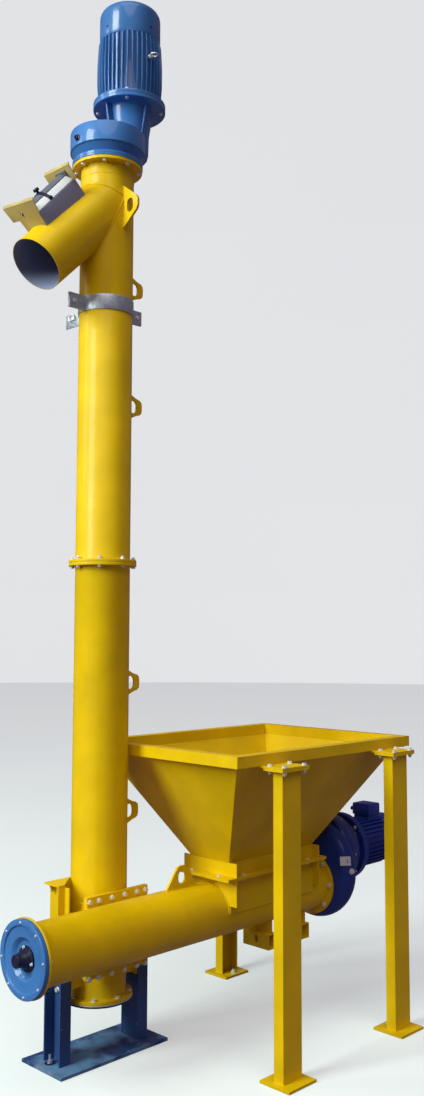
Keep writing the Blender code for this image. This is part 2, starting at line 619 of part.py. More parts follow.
def cross_beams():
    """Two short box sections under the feeder tube, each with a saddle plate shaped to the tube."""
    for x, word in zip(BEAM_X, ("left", "right")):
        low = BEAM_TOP - BEAM_HEIGHT
        beam = as_object(f"cross_beam_{word}", block((x, FEED_Y - BEAM_HALF, low),
                                                     (x + BEAM_WIDTH, FEED_Y + BEAM_HALF, BEAM_TOP)), YELLOW)
        cut(beam, block((x + BEAM_T, FEED_Y - 0.3, low + BEAM_T),
                        (x + BEAM_WIDTH - BEAM_T, FEED_Y + 0.3, BEAM_TOP - BEAM_T)))
        middle = x + BEAM_WIDTH / 2
        weld(beam, block((middle, FEED_Y - BEAM_HALF + 0.006, BEAM_TOP - 0.002),
                         (middle + SADDLE_T, FEED_Y + BEAM_HALF - 0.006, SADDLE_TOP)))
        cut(beam, rod(TUBE_R + GAP, 0.4, 1.0), FEEDER)
        hole = slot((FEED_Y, BEAM_TOP - BEAM_HEIGHT / 2 + 0.003), SLOT_R, SLOT_HALF - SLOT_R)
        cut(beam, prism(hole, -WELD, BEAM_T + WELD), plane_yz(x))


def top_drive():
    """Gear unit on the head's flange, and the motor standing on it, offset towards +X."""
    motor_x = 0.115
    low = TUBE_TOP + GAP
    drum_low = 3.578
    drum_top = 3.662
    under = 3.810
    joint = 3.825
    gear = as_object("top_gearbox", turned([
        (0, low), (0.1455, low), (0.1455, 3.540), (0.133, 3.541), (0.130, 3.574), (0.155, drum_low),
        (0.155, drum_top - 0.006), (0.153, drum_top - 0.002), (0.149, drum_top), (0, drum_top)]), BLUE)
    weld(gear, turned([(0, 3.583), (0.049, 3.583), (0.072, 3.600), (0.082, 3.625), (0.084, 3.700),
                       (0.0935, 3.767), (0.100, under + 0.006), (0, under + 0.006)], ROUND, motor_x))
    rib = [(motor_x - 0.040, 3.650), (motor_x - 0.103, 3.650), (motor_x - 0.117, 3.744),
           (motor_x - 0.130, under + 0.003), (motor_x - 0.040, under + 0.003)]
    weld(gear, prism(rib, 0, 0.008), plane_xz(0.004))
    for row in (-1, 1):
        rib = [(row * 0.040, 3.680), (row * 0.0835, 3.680), (row * 0.088, 3.705),
               (row * 0.115, under + 0.0035), (row * 0.040, under + 0.0035)]
        weld(gear, prism(rib, 0, 0.008), plane_yz(motor_x - 0.004))
    weld(gear, turned([(0, under), (0.153, under), (0.153, joint), (0, joint)], ROUND, motor_x))
    seat = joint + GAP
    seam = 4.112
    body_r = 0.136
    as_object("top_motor", turned([
        (0, seat), (0.153, seat), (0.153, seat + 0.0147), (0.128, seat + 0.017), (body_r, seat + 0.037),
        (body_r, seam - 0.020), (0.131, seam), (0, seam)], ROUND, motor_x), BLUE)
    cowl = [(0, seam + GAP), (0.129, seam + GAP)] + arc((0.095, 4.214), 0.034, 0, 90, 6) + [(0, 4.248)]
    as_object("top_motor_cowl", turned(cowl, ROUND, motor_x), BLUE)
    turn = Matrix.Translation((motor_x, 0, 0)) @ Matrix.Rotation(math.radians(75), 4, "Z")
    box = as_object("top_terminal_box", block((0.08, -0.055, 3.920), (0.180, 0.055, 4.040)), BLUE, turn)
    cut(box, rod(body_r + GAP, 3.8, 4.2), Matrix.Translation((motor_x, 0, 0)))


def feeder_drive():
    """Gear unit on the feeder's end flange, stepped up to a motor above the feeder's axis."""
    low = FEED_DRIVE + GAP
    motor_up = 0.125
    gear = as_object("feeder_gearbox", turned([
        (0, low), (0.176, low), (0.200, low + 0.007), (0.211, low + 0.020), (0.214, low + 0.034),
        (0.214, low + 0.052), (0.207, low + 0.066), (0.190, low + 0.078), (0, low + 0.080)],
        ROUND, 0.061), BLUE, FEEDER)
    joint = 1.266
    weld(gear, turned([
        (0, low + 0.060), (0.168, low + 0.060), (0.172, low + 0.066), (0.172, low + 0.112),
        (0.158, low + 0.120), (0.158, low + 0.160), (0.128, low + 0.172), (0.120, joint - 0.040),
        (0.120, joint - 0.024), (0.150, joint - 0.022), (0.150, joint), (0, joint)],
        ROUND, motor_up), FEEDER)
    seat = joint + GAP
    body_r = 0.1135
    motor = as_object("feeder_motor", turned([
        (0, seat), (0.150, seat), (0.150, seat + 0.011), (0.118, seat + 0.013), (0.108, seat + 0.030),
        (body_r, seat + 0.045), (body_r, 1.500), (0.110, 1.530), (0, 1.530)],
        ROUND, motor_up), BLUE, FEEDER)
    cowl = [(0, 1.530 + GAP), (0.110, 1.530 + GAP)] + arc((0.082, 1.590), 0.028, 0, 90, 5) + [(0, 1.618)]
    as_object("feeder_motor_cowl", turned(cowl, ROUND, motor_up), BLUE, FEEDER)
    seat = motor_up + body_r + 0.006
    weld(motor, block((motor_up + 0.08, -0.042, 1.422), (seat, 0.042, 1.501)), FEEDER)
    as_object("feeder_terminal_box", block((seat + GAP, -0.048, 1.417), (0.795 - FEED_Z, 0.048, 1.506)),
              BLUE, FEEDER)


def flight(start, end, hand):
    """Helical flight round local Z, its inner edge inside the shaft."""
    bm = bmesh.new()
    count = round((end - start) / FLIGHT_PITCH * FLIGHT_STEPS)
    inner = SHAFT_R - 0.008
    rings = []
    for step in range(count + 1):
        angle = 0.13 + hand * math.tau * step / FLIGHT_STEPS
        z = start + (end - start) * step / count
        c, s = math.cos(angle), math.sin(angle)
        ring = []
        for radius, height in ((inner, z), (FLIGHT_R, z), (FLIGHT_R, z + FLIGHT_T), (inner, z + FLIGHT_T)):
            ring.append(bm.verts.new((radius * c, radius * s, height)))
        rings.append(ring)
    for one, two in zip(rings, rings[1:]):
        for i in range(4):
            j = (i + 1) % 4
            # Upper and lower faces share one diagonal, so that the twisted sheet keeps its thickness
            if i < 2:
                bm.faces.new((one[i], one[j], two[j]))
                bm.faces.new((one[i], two[j], two[i]))
            else:
                bm.faces.new((one[i], one[j], two[i]))
                bm.faces.new((one[j], two[j], two[i]))
    bm.faces.new(rings[0])
    bm.faces.new(list(reversed(rings[-1])))
    return bm


def screws():
    """Feeder screw and lifting screw, each a shaft with a welded flight."""
    start = FEED_END + 0.011 + GAP
    screw = as_object("feeder_screw", rod(SHAFT_R, start, FEED_DRIVE, SMALL), STEEL, FEEDER)
    weld(screw, flight(-0.30, 0.95, 1), FEEDER)
    screw = as_object("lifting_screw", rod(SHAFT_R, TUBE_FOOT, TUBE_TOP, SMALL), STEEL)
    weld(screw, flight(0.235, 3.385, -1))


def build():
    clear_scene()
    stand()
    vertical_tube()
    hatch()
    lugs()
    clamp()
    crossing()
    feeder()
    inlet()
    hopper()
    legs()
    cross_beams()
    top_drive()
    feeder_drive()
    screws()


build()
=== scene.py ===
"""Looks of a vertical screw conveyor with a hopper-fed feeder: paint, welds, bolts, fins, finer skins.

Metres, +Z up. The vertical tube's axis is the Z axis, the feeder runs along X on the -Y side.
Left is -X, right is +X, near is -Y and far is +Y.
"""

import json
import math

import bpy
from mathutils import Matrix, Vector


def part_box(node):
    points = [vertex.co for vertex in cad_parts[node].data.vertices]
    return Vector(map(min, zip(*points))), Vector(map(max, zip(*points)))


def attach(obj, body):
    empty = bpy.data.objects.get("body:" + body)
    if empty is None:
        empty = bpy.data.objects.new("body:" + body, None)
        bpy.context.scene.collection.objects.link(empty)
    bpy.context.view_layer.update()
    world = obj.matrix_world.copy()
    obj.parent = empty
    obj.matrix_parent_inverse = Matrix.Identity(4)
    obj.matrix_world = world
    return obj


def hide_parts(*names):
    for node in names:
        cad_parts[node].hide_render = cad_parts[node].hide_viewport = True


bl_info = {
    "name": "Screw Conveyor Looks",
    "version": (1, 0, 0),
    "blender": (4, 5, 0),
    "location": "3D View > Sidebar > Conveyor",
    "description": "Paint, welds, fasteners and finer skins for a vertical screw conveyor",
    "category": "Object",
}

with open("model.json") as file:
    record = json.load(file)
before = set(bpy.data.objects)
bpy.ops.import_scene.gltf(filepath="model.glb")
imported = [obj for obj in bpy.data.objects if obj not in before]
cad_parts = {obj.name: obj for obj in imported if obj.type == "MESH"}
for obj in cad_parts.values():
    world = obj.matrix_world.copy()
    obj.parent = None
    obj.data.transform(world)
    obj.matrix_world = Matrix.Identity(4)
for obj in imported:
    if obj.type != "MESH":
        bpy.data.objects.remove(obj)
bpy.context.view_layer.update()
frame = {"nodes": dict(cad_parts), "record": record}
NODES = frame["nodes"]

# Axes of the feeder, the discharge branch and the hatch
FEED_Y = -0.215
FEED_Z = 0.498
FEEDER = Matrix(((0, 0, 1, 0), (0, -1, 0, FEED_Y), (1, 0, 0, FEED_Z), (0, 0, 0, 1)))
SLOPE = math.sqrt(0.5)
BRANCH_Z = 3.373
BRANCH = Matrix(((-SLOPE, 0, -SLOPE, 0), (0, 1, 0, 0), (SLOPE, 0, -SLOPE, BRANCH_Z), (0, 0, 0, 1)))
HATCH_LENGTH = 0.250
HATCH_HALF = 0.0565
HATCH = BRANCH @ Matrix.Translation((0.1503, 0, 0.388)) @ Matrix.Rotation(math.radians(-3.6), 4, "Y")
UPRIGHT = Matrix.Identity(4)

# Levels of the vertical tube
TUBE_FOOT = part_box("lower_tube")[0][2]
MID_JOINT = 1.880
CLAMP_JOINT = 2.925
HEAD_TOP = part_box("discharge_head")[1][2]
FLANGE_T = 0.012
BRANCH_LENGTH = 0.495
HEAD_SEAM = 3.462
LUG_LEVELS = (0.890, 1.402, 2.543, 3.045)
BOLT_RING = 0.1225

# Gaps between neighbouring solids
CLEAR = 0.0003
HALF_GAP = 0.0002

# Feeder
FEED_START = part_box("feeder_tube")[0][0]
FEED_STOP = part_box("feeder_tube")[1][0]
FEED_FLANGE_R = 0.1354
COVER_R = 0.1330
CROSS_SEAT = -0.1188
CROSS_BACK = -0.1003
HOPPER_X = 0.658
RIM_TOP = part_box("hopper_rim_near")[1][2]
INLET_JOINT = 0.6367
LEG_X = 0.346
LEG_Y = 0.485
LEG_SPOTS = ((-1, -1), (1, -1), (1, 1))
LEG_HEAD = 1.118

# Motors
TOP_MOTOR_X = 0.115
FEED_MOTOR_UP = 0.125

# Sides, each with the word for it in a name
LEFT_RIGHT = ((-1, "left"), (1, "right"))
NEAR_FAR = ((-1, "near"), (1, "far"))

SHADES = {}


def alone(piece):
    """Select one object and make it the active one."""
    bpy.ops.object.select_all(action="DESELECT")
    piece.select_set(True)
    bpy.context.view_layer.objects.active = piece


def added(operator, name, **given):
    """A fresh primitive with a name and nothing else selected."""
    bpy.ops.object.select_all(action="DESELECT")
    operator(**given)
    piece = bpy.context.object
    piece.name = name
    piece.data.name = name
    return piece


def settled(piece, place=UPRIGHT):
    """Put a piece in its place and move that place into its mesh."""
    piece.matrix_world = place @ piece.matrix_world
    alone(piece)
    bpy.ops.object.transform_apply(location=True, rotation=True, scale=True)
    return piece


def applied(piece, kind, **settings):
    """Add one modifier, set it up and apply it."""
    alone(piece)
    change = piece.modifiers.new(kind.title(), kind)
    for key, value in settings.items():
        setattr(change, key, value)
    bpy.ops.object.modifier_apply(modifier=change.name)
    return piece


def rounded(piece, width, segments=2, angle=40):
    """Round the real edges of a piece and leave its fine facets alone."""
    return applied(piece, "BEVEL", width=width, segments=segments, limit_method="ANGLE",
                   angle_limit=math.radians(angle), use_clamp_overlap=True)


def outward(piece):
    """Merge doubles and turn the faces outwards."""
    alone(piece)
    bpy.ops.object.mode_set(mode="EDIT")
    bpy.ops.mesh.select_all(action="SELECT")
    bpy.ops.mesh.remove_doubles(threshold=0.000005)
    bpy.ops.mesh.normals_make_consistent(inside=False)
    bpy.ops.object.mode_set(mode="OBJECT")
    return piece


def drawn(name, points, close=True):
    """Extrude one vertex along a row of points, and join the ends if asked."""
    piece = added(bpy.ops.mesh.primitive_plane_add, name, size=0.01)
    bpy.ops.object.mode_set(mode="EDIT")
    bpy.ops.mesh.select_all(action="SELECT")
    bpy.ops.mesh.merge(type="CENTER")
    bpy.ops.transform.translate(value=points[0])
    row = list(points) + ([points[0]] if close else [])
    for one, two in zip(row, row[1:]):
        step = Vector(two) - Vector(one)
        bpy.ops.mesh.extrude_region_move(TRANSFORM_OT_translate={"value": step})
    bpy.ops.mesh.select_all(action="SELECT")
    bpy.ops.mesh.remove_doubles(threshold=0.000005)
    bpy.ops.object.mode_set(mode="OBJECT")
    return piece


def turned(name, profile, steps=96, place=UPRIGHT, shift=0.0, edge=0.0008, segments=2):
    """Spin a profile of (radius, height) points about the local Z axis."""
    close = profile[0][0] > 0
    piece = drawn(name, [(radius, 0, height) for radius, height in profile], close)
    bpy.ops.object.mode_set(mode="EDIT")
    bpy.ops.mesh.select_all(action="SELECT")
    bpy.ops.mesh.spin(steps=steps, angle=math.tau, center=(0, 0, 0), axis=(0, 0, 1))
    bpy.ops.object.mode_set(mode="OBJECT")
    outward(piece)
    if edge:
        rounded(piece, edge, segments, 25)
    return settled(piece, place @ Matrix.Translation((shift, 0, 0)))


def sheared_out(name, outline, low, high, place=UPRIGHT, edge=0.0008):
    """Fill an outline in local X and Y and extrude it along local Z."""
    piece = drawn(name, [(x, y, low) for x, y in outline])
    bpy.ops.object.mode_set(mode="EDIT")
    bpy.ops.mesh.select_all(action="SELECT")
    bpy.ops.mesh.edge_face_add()
    bpy.ops.mesh.extrude_region_move(TRANSFORM_OT_translate={"value": (0, 0, high - low)})
    bpy.ops.object.mode_set(mode="OBJECT")
    outward(piece)
    if edge:
        rounded(piece, edge)
    return settled(piece, place)


def slab(name, low, high, place=UPRIGHT, edge=0.0008):
    """Box between two corners with rounded edges."""
    size = [b - a for a, b in zip(low, high)]
    centre = [(a + b) / 2 for a, b in zip(low, high)]
    piece = added(bpy.ops.mesh.primitive_cube_add, name, size=1, location=centre, scale=size)
    settled(piece)
    if edge:
        rounded(piece, edge)
    return settled(piece, place)


def cylinder(name, radius, low, high, place=UPRIGHT, sides=96):
    piece = added(bpy.ops.mesh.primitive_cylinder_add, name, vertices=sides, radius=radius,
                  depth=high - low, location=(0, 0, (low + high) / 2))
    return settled(piece, place)


def carved(piece, tool, operation="DIFFERENCE"):
    """Cut a tool out of a piece, or weld it on, and throw the tool away."""
    applied(piece, "BOOLEAN", operation=operation, solver="EXACT", object=tool)
    bpy.data.objects.remove(tool)
    return piece


def joined(name, pieces):
    """Several objects made into one."""
    bpy.ops.object.select_all(action="DESELECT")
    for piece in pieces:
        piece.select_set(True)
    bpy.context.view_layer.objects.active = pieces[0]
    bpy.ops.object.join()
    whole = bpy.context.object
    whole.name = name
    whole.data.name = name
    return whole


def copied(name, model, places):
    """Copies of a model at several places, each with its own mesh, joined into one piece."""
    pieces = []
    for place in places:
        twin = model.copy()
        twin.data = model.data.copy()
        twin.data.transform(place)
        bpy.context.collection.objects.link(twin)
        pieces.append(twin)
    return joined(name, pieces)


def smooth(piece, angle=32):
    alone(piece)
    bpy.ops.object.shade_smooth_by_angle(angle=math.radians(angle))
    return piece


def finished(piece, shade, slot, *nodes, angle=32):
    """Shade a piece, give it its finish and set it on the machine."""
    smooth(piece, angle)
    piece.data.materials.clear()
    piece.data.materials.append(SHADES[shade])
    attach(piece, "root")
    if nodes:
        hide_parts(*nodes)
    return piece


def bead(name, points, radius, shade="yellow_enamel", slot="yellow", closed=False, resolution=2):
    """Weld bead or bent wire: a round cord along a line of points, made a mesh."""
    curve = bpy.data.curves.new(name, "CURVE")
    curve.dimensions = "3D"
    curve.bevel_depth = radius
    curve.bevel_resolution = resolution
    curve.use_fill_caps = True
    spline = curve.splines.new("POLY")
    spline.points.add(len(points) - 1)
    for point, place in zip(spline.points, points):
        point.co = (*place, 1)
    spline.use_cyclic_u = closed
    piece = bpy.data.objects.new(name, curve)
    bpy.context.collection.objects.link(piece)
    alone(piece)
    bpy.ops.object.convert(target="MESH")
    piece = bpy.context.object
    return finished(piece, shade, slot, angle=60)


def ring_points(radius, height, count=72, place=UPRIGHT):
    """Points round a circle at one height."""
    points = []
    for step in range(count):
        angle = math.tau * step / count
        points.append(place @ Vector((radius * math.cos(angle), radius * math.sin(angle), height)))
    return points


def line_points(start, stop, count=12):
    """Points at even steps along a straight line."""
    one, two = Vector(start), Vector(stop)
    return [one.lerp(two, step / count) for step in range(count + 1)]


def around(radius, height, count, phase=0.0, place=UPRIGHT, shift=0.0, flip=False):
    """Places on a bolt circle, each with its local Z along the axis, or against it."""
    places = []
    for step in range(count):
        turn = Matrix.Rotation(math.radians(phase + 360 * step / count), 4, "Z")
        spot = Matrix.Translation((shift, 0, 0)) @ turn @ Matrix.Translation((radius, 0, height))
        if flip:
            spot = spot @ Matrix.Rotation(math.pi, 4, "X")
        places.append(place @ spot)
    return places


def aimed(spot, direction):
    """A place whose local Z points in a direction."""
    turn = Vector(direction).to_track_quat("Z", "Y").to_matrix().to_4x4()
    return Matrix.Translation(spot) @ turn


def bolt_model(size):
    """Hexagon head on a washer, seat at Z=0, for a thread of this size."""
    across = size * 0.92
    head = added(bpy.ops.mesh.primitive_cylinder_add, "head", vertices=6, radius=across,
                 depth=size * 0.64, location=(0, 0, size * 0.15 + size * 0.32))
    settled(head)
    bpy.ops.object.mode_set(mode="EDIT")
    bpy.ops.mesh.select_all(action="DESELECT")
    bpy.ops.object.mode_set(mode="OBJECT")
    top = max(face.center.z for face in head.data.polygons)
    for face in head.data.polygons:
        face.select = face.center.z > top - 0.0001
    bpy.ops.object.mode_set(mode="EDIT")
    bpy.ops.mesh.inset(thickness=size * 0.14, depth=size * 0.05)
    bpy.ops.object.mode_set(mode="OBJECT")
    washer = turned("washer", [(0, 0), (size * 1.08, 0), (size * 1.08, size * 0.11),
                               (size * 1.02, size * 0.16), (0, size * 0.16)], 20, edge=0)
    return joined("bolt_model", [head, washer])


def nut_model(size):
    """Nut with a washer and the end of the thread."""
    base = bolt_model(size)
    stud = turned("stud", [(0, size * 0.5), (size * 0.5, size * 0.5), (size * 0.5, size * 1.25),
                           (size * 0.42, size * 1.35), (0, size * 1.35)], 12, edge=0)
    return joined("nut_model", [base, stud])


def fasteners(name, size, places, kind="bolt", shade="zinc_plate"):
    """A row or ring of bolts or nuts as one piece."""
    model = bolt_model(size) if kind == "bolt" else nut_model(size)
    group = copied(name, model, places)
    bpy.data.objects.remove(model)
    return finished(group, shade, "zinc", angle=30)


def length_setting(name, description, default):
    return bpy.props.FloatProperty(name=name, description=description, default=default,
                                   unit="LENGTH")


def colour_setting(name, description, default):
    return bpy.props.FloatVectorProperty(name=name, description=description, subtype="COLOR",
                                         size=3, default=default)


class ConveyorSizes(bpy.types.PropertyGroup):
    tube_radius: length_setting("Tube radius", "Outer radius of both conveyor tubes", 0.1095)
    tube_wall: length_setting("Tube wall", "Wall of both conveyor tubes", 0.004)
    flange_radius: length_setting("Flange radius", "Outer radius of the tube flanges", 0.135)
    bolt_size: length_setting("Flange bolt", "Thread of the flange bolts", 0.010)
    small_bolt: length_setting("Small bolt", "Thread of the cover and inlet bolts", 0.008)
    weld_radius: length_setting("Weld bead", "Radius of the weld beads", 0.0028)
    flight_pitch: length_setting("Flight pitch", "Lead of both screws", 0.200)
    top_fins: bpy.props.IntProperty(
        name="Top motor fins", description="Cooling fins round the top motor", default=40)
    feeder_fins: bpy.props.IntProperty(
        name="Feeder motor fins", description="Cooling fins round the feeder motor", default=34)


class ConveyorColours(bpy.types.PropertyGroup):
    yellow: colour_setting("Yellow", "Machine enamel", (0.76, 0.520, 0.0005))
    blue: colour_setting("Blue", "Gear unit and motor enamel", (0.044, 0.180, 0.470))
    stand: colour_setting("Stand blue", "Stand enamel", (0.030, 0.080, 0.235))
    dark: colour_setting("Dark", "Bottom cover and hub", (0.011, 0.013, 0.036))
    hatch: colour_setting("Hatch grey", "Hatch box and strap", (0.215, 0.235, 0.325))
    lid: colour_setting("Lid", "Hatch lid", (0.70, 0.76, 0.76))
    floor: colour_setting("Floor", "Studio floor", (0.50, 0.60, 0.58))
    backdrop: colour_setting("Backdrop", "Studio backdrop", (0.74, 0.75, 0.77))


def sizes():
    return bpy.context.scene.conveyor_sizes


def colours():
    return bpy.context.scene.conveyor_colours


def shade_base(name):
    """New node material; returns it with its tree, shader and an Object coordinate socket."""
    made = bpy.data.materials.new(name)
    made.use_nodes = True
    tree = made.node_tree
    shader = tree.nodes["Principled BSDF"]
    coordinates = tree.nodes.new("ShaderNodeTexCoord")
    SHADES[name] = made
    return made, tree, shader, coordinates.outputs["Object"]


def noise(tree, where, scale, detail=3.0, rough=0.5, stretch=(1, 1, 1)):
    """Noise value over Object coordinates, stretched if asked."""
    mapping = tree.nodes.new("ShaderNodeMapping")
    mapping.inputs["Scale"].default_value = stretch
    tree.links.new(where, mapping.inputs["Vector"])
    node = tree.nodes.new("ShaderNodeTexNoise")
    node.inputs["Scale"].default_value = scale
    node.inputs["Detail"].default_value = detail
    node.inputs["Roughness"].default_value = rough
    tree.links.new(mapping.outputs["Vector"], node.inputs["Vector"])
    return node.outputs["Fac"]


def ranged(tree, value, low, high, to_low, to_high):
    """A value mapped, and clamped, from one range to another."""
    node = tree.nodes.new("ShaderNodeMapRange")
    node.inputs["From Min"].default_value = low
    node.inputs["From Max"].default_value = high
    node.inputs["To Min"].default_value = to_low
    node.inputs["To Max"].default_value = to_high
    tree.links.new(value, node.inputs["Value"])
    return node.outputs["Result"]


def mixed(tree, factor, one, two):
    """Mix of two colours, each a colour or a socket."""
    node = tree.nodes.new("ShaderNodeMix")
    node.data_type = "RGBA"
    tree.links.new(factor, node.inputs["Factor"])
    for socket, value in ((node.inputs[6], one), (node.inputs[7], two)):
        if isinstance(value, bpy.types.NodeSocket):
            tree.links.new(value, socket)
        else:
            socket.default_value = (*value, 1)
    return node.outputs[2]


def bumped(tree, shader, height, strength, distance):
    """Give a shader a bumpy surface from a height value."""
    node = tree.nodes.new("ShaderNodeBump")
    node.inputs["Strength"].default_value = strength
    node.inputs["Distance"].default_value = distance
    tree.links.new(height, node.inputs["Height"])
    tree.links.new(node.outputs["Normal"], shader.inputs["Normal"])


def scaled(colour, factor):
    """A lighter or darker tone of a colour."""
    return tuple(min(1.0, channel * factor) for channel in colour)


def enamel(name, colour, dust, rough, coat, dust_amount=0.25, peel=0.10, grime=0.0, painted_shade_patch=None,
           fleck=None):
    """Sprayed enamel: cloudy tint, runs and dust, small scuffs and an orange-peel surface; if asked,
    also soot, flecks and dark patches of painted shade.
    """
    made, tree, shader, where = shade_base(name)
    cloud = ranged(tree, noise(tree, where, 5.0, 4.0), 0.35, 0.68, 0, 1)
    body = mixed(tree, cloud, scaled(colour, 0.90), scaled(colour, 1.08))
    streak = ranged(tree, noise(tree, where, 9.0, 5.0, 0.6, (1, 1, 0.16)), 0.50, 0.78, 0, dust_amount)
    body = mixed(tree, streak, body, dust)
    speck = ranged(tree, noise(tree, where, 170.0, 2.0), 0.73, 0.78, 0, 0.40)
    body = mixed(tree, speck, body, scaled(colour, 0.50))
    if grime:
        soot = ranged(tree, noise(tree, where, 14.0, 6.0, 0.65), 0.52, 0.72, 0, grime)
        body = mixed(tree, soot, body, (0.05, 0.045, 0.04))
    # Painted shade: dark patches laid over the enamel at random places, standing in for shadow that
    # falls on it.
    if painted_shade_patch:
        shape = ranged(tree, noise(tree, where, 6.5, 3.0, 0.55), 0.44, 0.60, 0, 0.9)
        body = mixed(tree, shape, body, painted_shade_patch)
    if fleck:
        dots = ranged(tree, noise(tree, where, 75.0, 1.0), 0.735, 0.765, 0, 0.7)
        body = mixed(tree, dots, body, fleck)
    tree.links.new(body, shader.inputs["Base Color"])
    tree.links.new(ranged(tree, noise(tree, where, 22.0, 4.0), 0.3, 0.7, rough * 0.8, rough * 1.35),
                   shader.inputs["Roughness"])
    shader.inputs["Specular IOR Level"].default_value = 0.20
    shader.inputs["Coat Weight"].default_value = coat
    shader.inputs["Coat Roughness"].default_value = 0.08
    bumped(tree, shader, noise(tree, where, 420.0, 2.0), peel, 0.0006)
    return made


def zinc(name, tint, rough, spangle_scale, metal=0.85):
    """Galvanised or plated steel: spangled greys with a dull sheen."""
    made, tree, shader, where = shade_base(name)
    cells = tree.nodes.new("ShaderNodeTexVoronoi")
    cells.inputs["Scale"].default_value = spangle_scale
    tree.links.new(where, cells.inputs["Vector"])
    grey = tree.nodes.new("ShaderNodeRGBToBW")
    tree.links.new(cells.outputs["Color"], grey.inputs["Color"])
    flake = ranged(tree, grey.outputs["Val"], 0.2, 0.8, 0, 1)
    body = mixed(tree, flake, scaled(tint, 0.90), scaled(tint, 1.07))
    cloud = ranged(tree, noise(tree, where, 30.0, 4.0), 0.45, 0.7, 0, 0.35)
    body = mixed(tree, cloud, body, scaled(tint, 0.80))
    tree.links.new(body, shader.inputs["Base Color"])
    shader.inputs["Metallic"].default_value = metal
    tree.links.new(ranged(tree, flake, 0, 1, rough * 0.8, rough * 1.3), shader.inputs["Roughness"])
    bumped(tree, shader, noise(tree, where, 600.0, 2.0), 0.12, 0.0004)
    return made


def steel(name, tint, rust, rough):
    """Bare worn steel with brown staining."""
    made, tree, shader, where = shade_base(name)
    stain = ranged(tree, noise(tree, where, 16.0, 6.0, 0.6), 0.45, 0.72, 0, 0.7)
    body = mixed(tree, stain, tint, rust)
    tree.links.new(body, shader.inputs["Base Color"])
    tree.links.new(ranged(tree, stain, 0, 0.7, 0.9, 0.35), shader.inputs["Metallic"])
    tree.links.new(ranged(tree, noise(tree, where, 60.0, 3.0), 0.3, 0.7, rough * 0.8, rough * 1.3),
                   shader.inputs["Roughness"])
    bumped(tree, shader, noise(tree, where, 260.0, 3.0), 0.2, 0.0006)
    return made


class CONVEYOR_OT_finishes(bpy.types.Operator):
    """Make every finish of the machine"""
    bl_idname = "conveyor.finishes"
    bl_label = "Finishes"

    def execute(self, context):
        c = colours()
        blue = tuple(c.blue)
        enamel("yellow_enamel", tuple(c.yellow), (0.50, 0.31, 0.03), 0.42, 0.10, 0.10)
        enamel("faded_enamel", (0.50, 0.40, 0.13), (0.34, 0.30, 0.20), 0.45, 0.15, 0.35)
        enamel("inner_enamel", (0.20, 0.235, 0.36), (0.15, 0.17, 0.26), 0.65, 0.0, 0.30)
        enamel("stand_enamel", tuple(c.stand), (0.07, 0.12, 0.25), 0.42, 0.10, 0.25, 0.15, 0.15,
               fleck=(0.30, 0.36, 0.45))
        # Base plate: its dark navy patches are painted shade, standing in for the shadow of the tube
        # and the stand columns.
        enamel("base_enamel", (0.105, 0.250, 0.440), (0.25, 0.25, 0.27), 0.50, 0.08, 0.80, 0.20, 0.30,
               painted_shade_patch=(0.010, 0.030, 0.135))
        enamel("dark_enamel", tuple(c.dark), (0.04, 0.04, 0.07), 0.36, 0.20, 0.20, 0.12)
        enamel("blue_enamel", blue, (0.12, 0.30, 0.52), 0.38, 0.40, 0.15, 0.14)
        enamel("motor_enamel", scaled(blue, 0.85), (0.13, 0.27, 0.46), 0.34, 0.55, 0.20, 0.18)
        # Darker copy of the blue enamel for the feeder drive: painted shade, as if it lay in the
        # hopper's shadow.
        enamel("shaded_blue_enamel", (0.013, 0.040, 0.270), (0.03, 0.07, 0.30), 0.42, 0.20, 0.20, 0.16)
        enamel("hatch_enamel", tuple(c.hatch), (0.24, 0.23, 0.29), 0.45, 0.10, 0.25, 0.12)
        enamel("strap_enamel", (0.130, 0.150, 0.190), (0.20, 0.21, 0.23), 0.45, 0.10, 0.3)
        enamel("lid_enamel", tuple(c.lid), (0.60, 0.62, 0.62), 0.32, 0.20, 0.25, 0.10)
        enamel("plate_blank", (0.62, 0.65, 0.70), (0.50, 0.52, 0.56), 0.45, 0.0, 0.35, 0.10)
        zinc("galvanised", (0.50, 0.58, 0.64), 0.50, 140.0)
        zinc("zinc_plate", (0.80, 0.82, 0.82), 0.36, 700.0, 0.45)
        steel("worn_steel", (0.34, 0.33, 0.32), (0.16, 0.10, 0.06), 0.42)
        return {"FINISHED"}


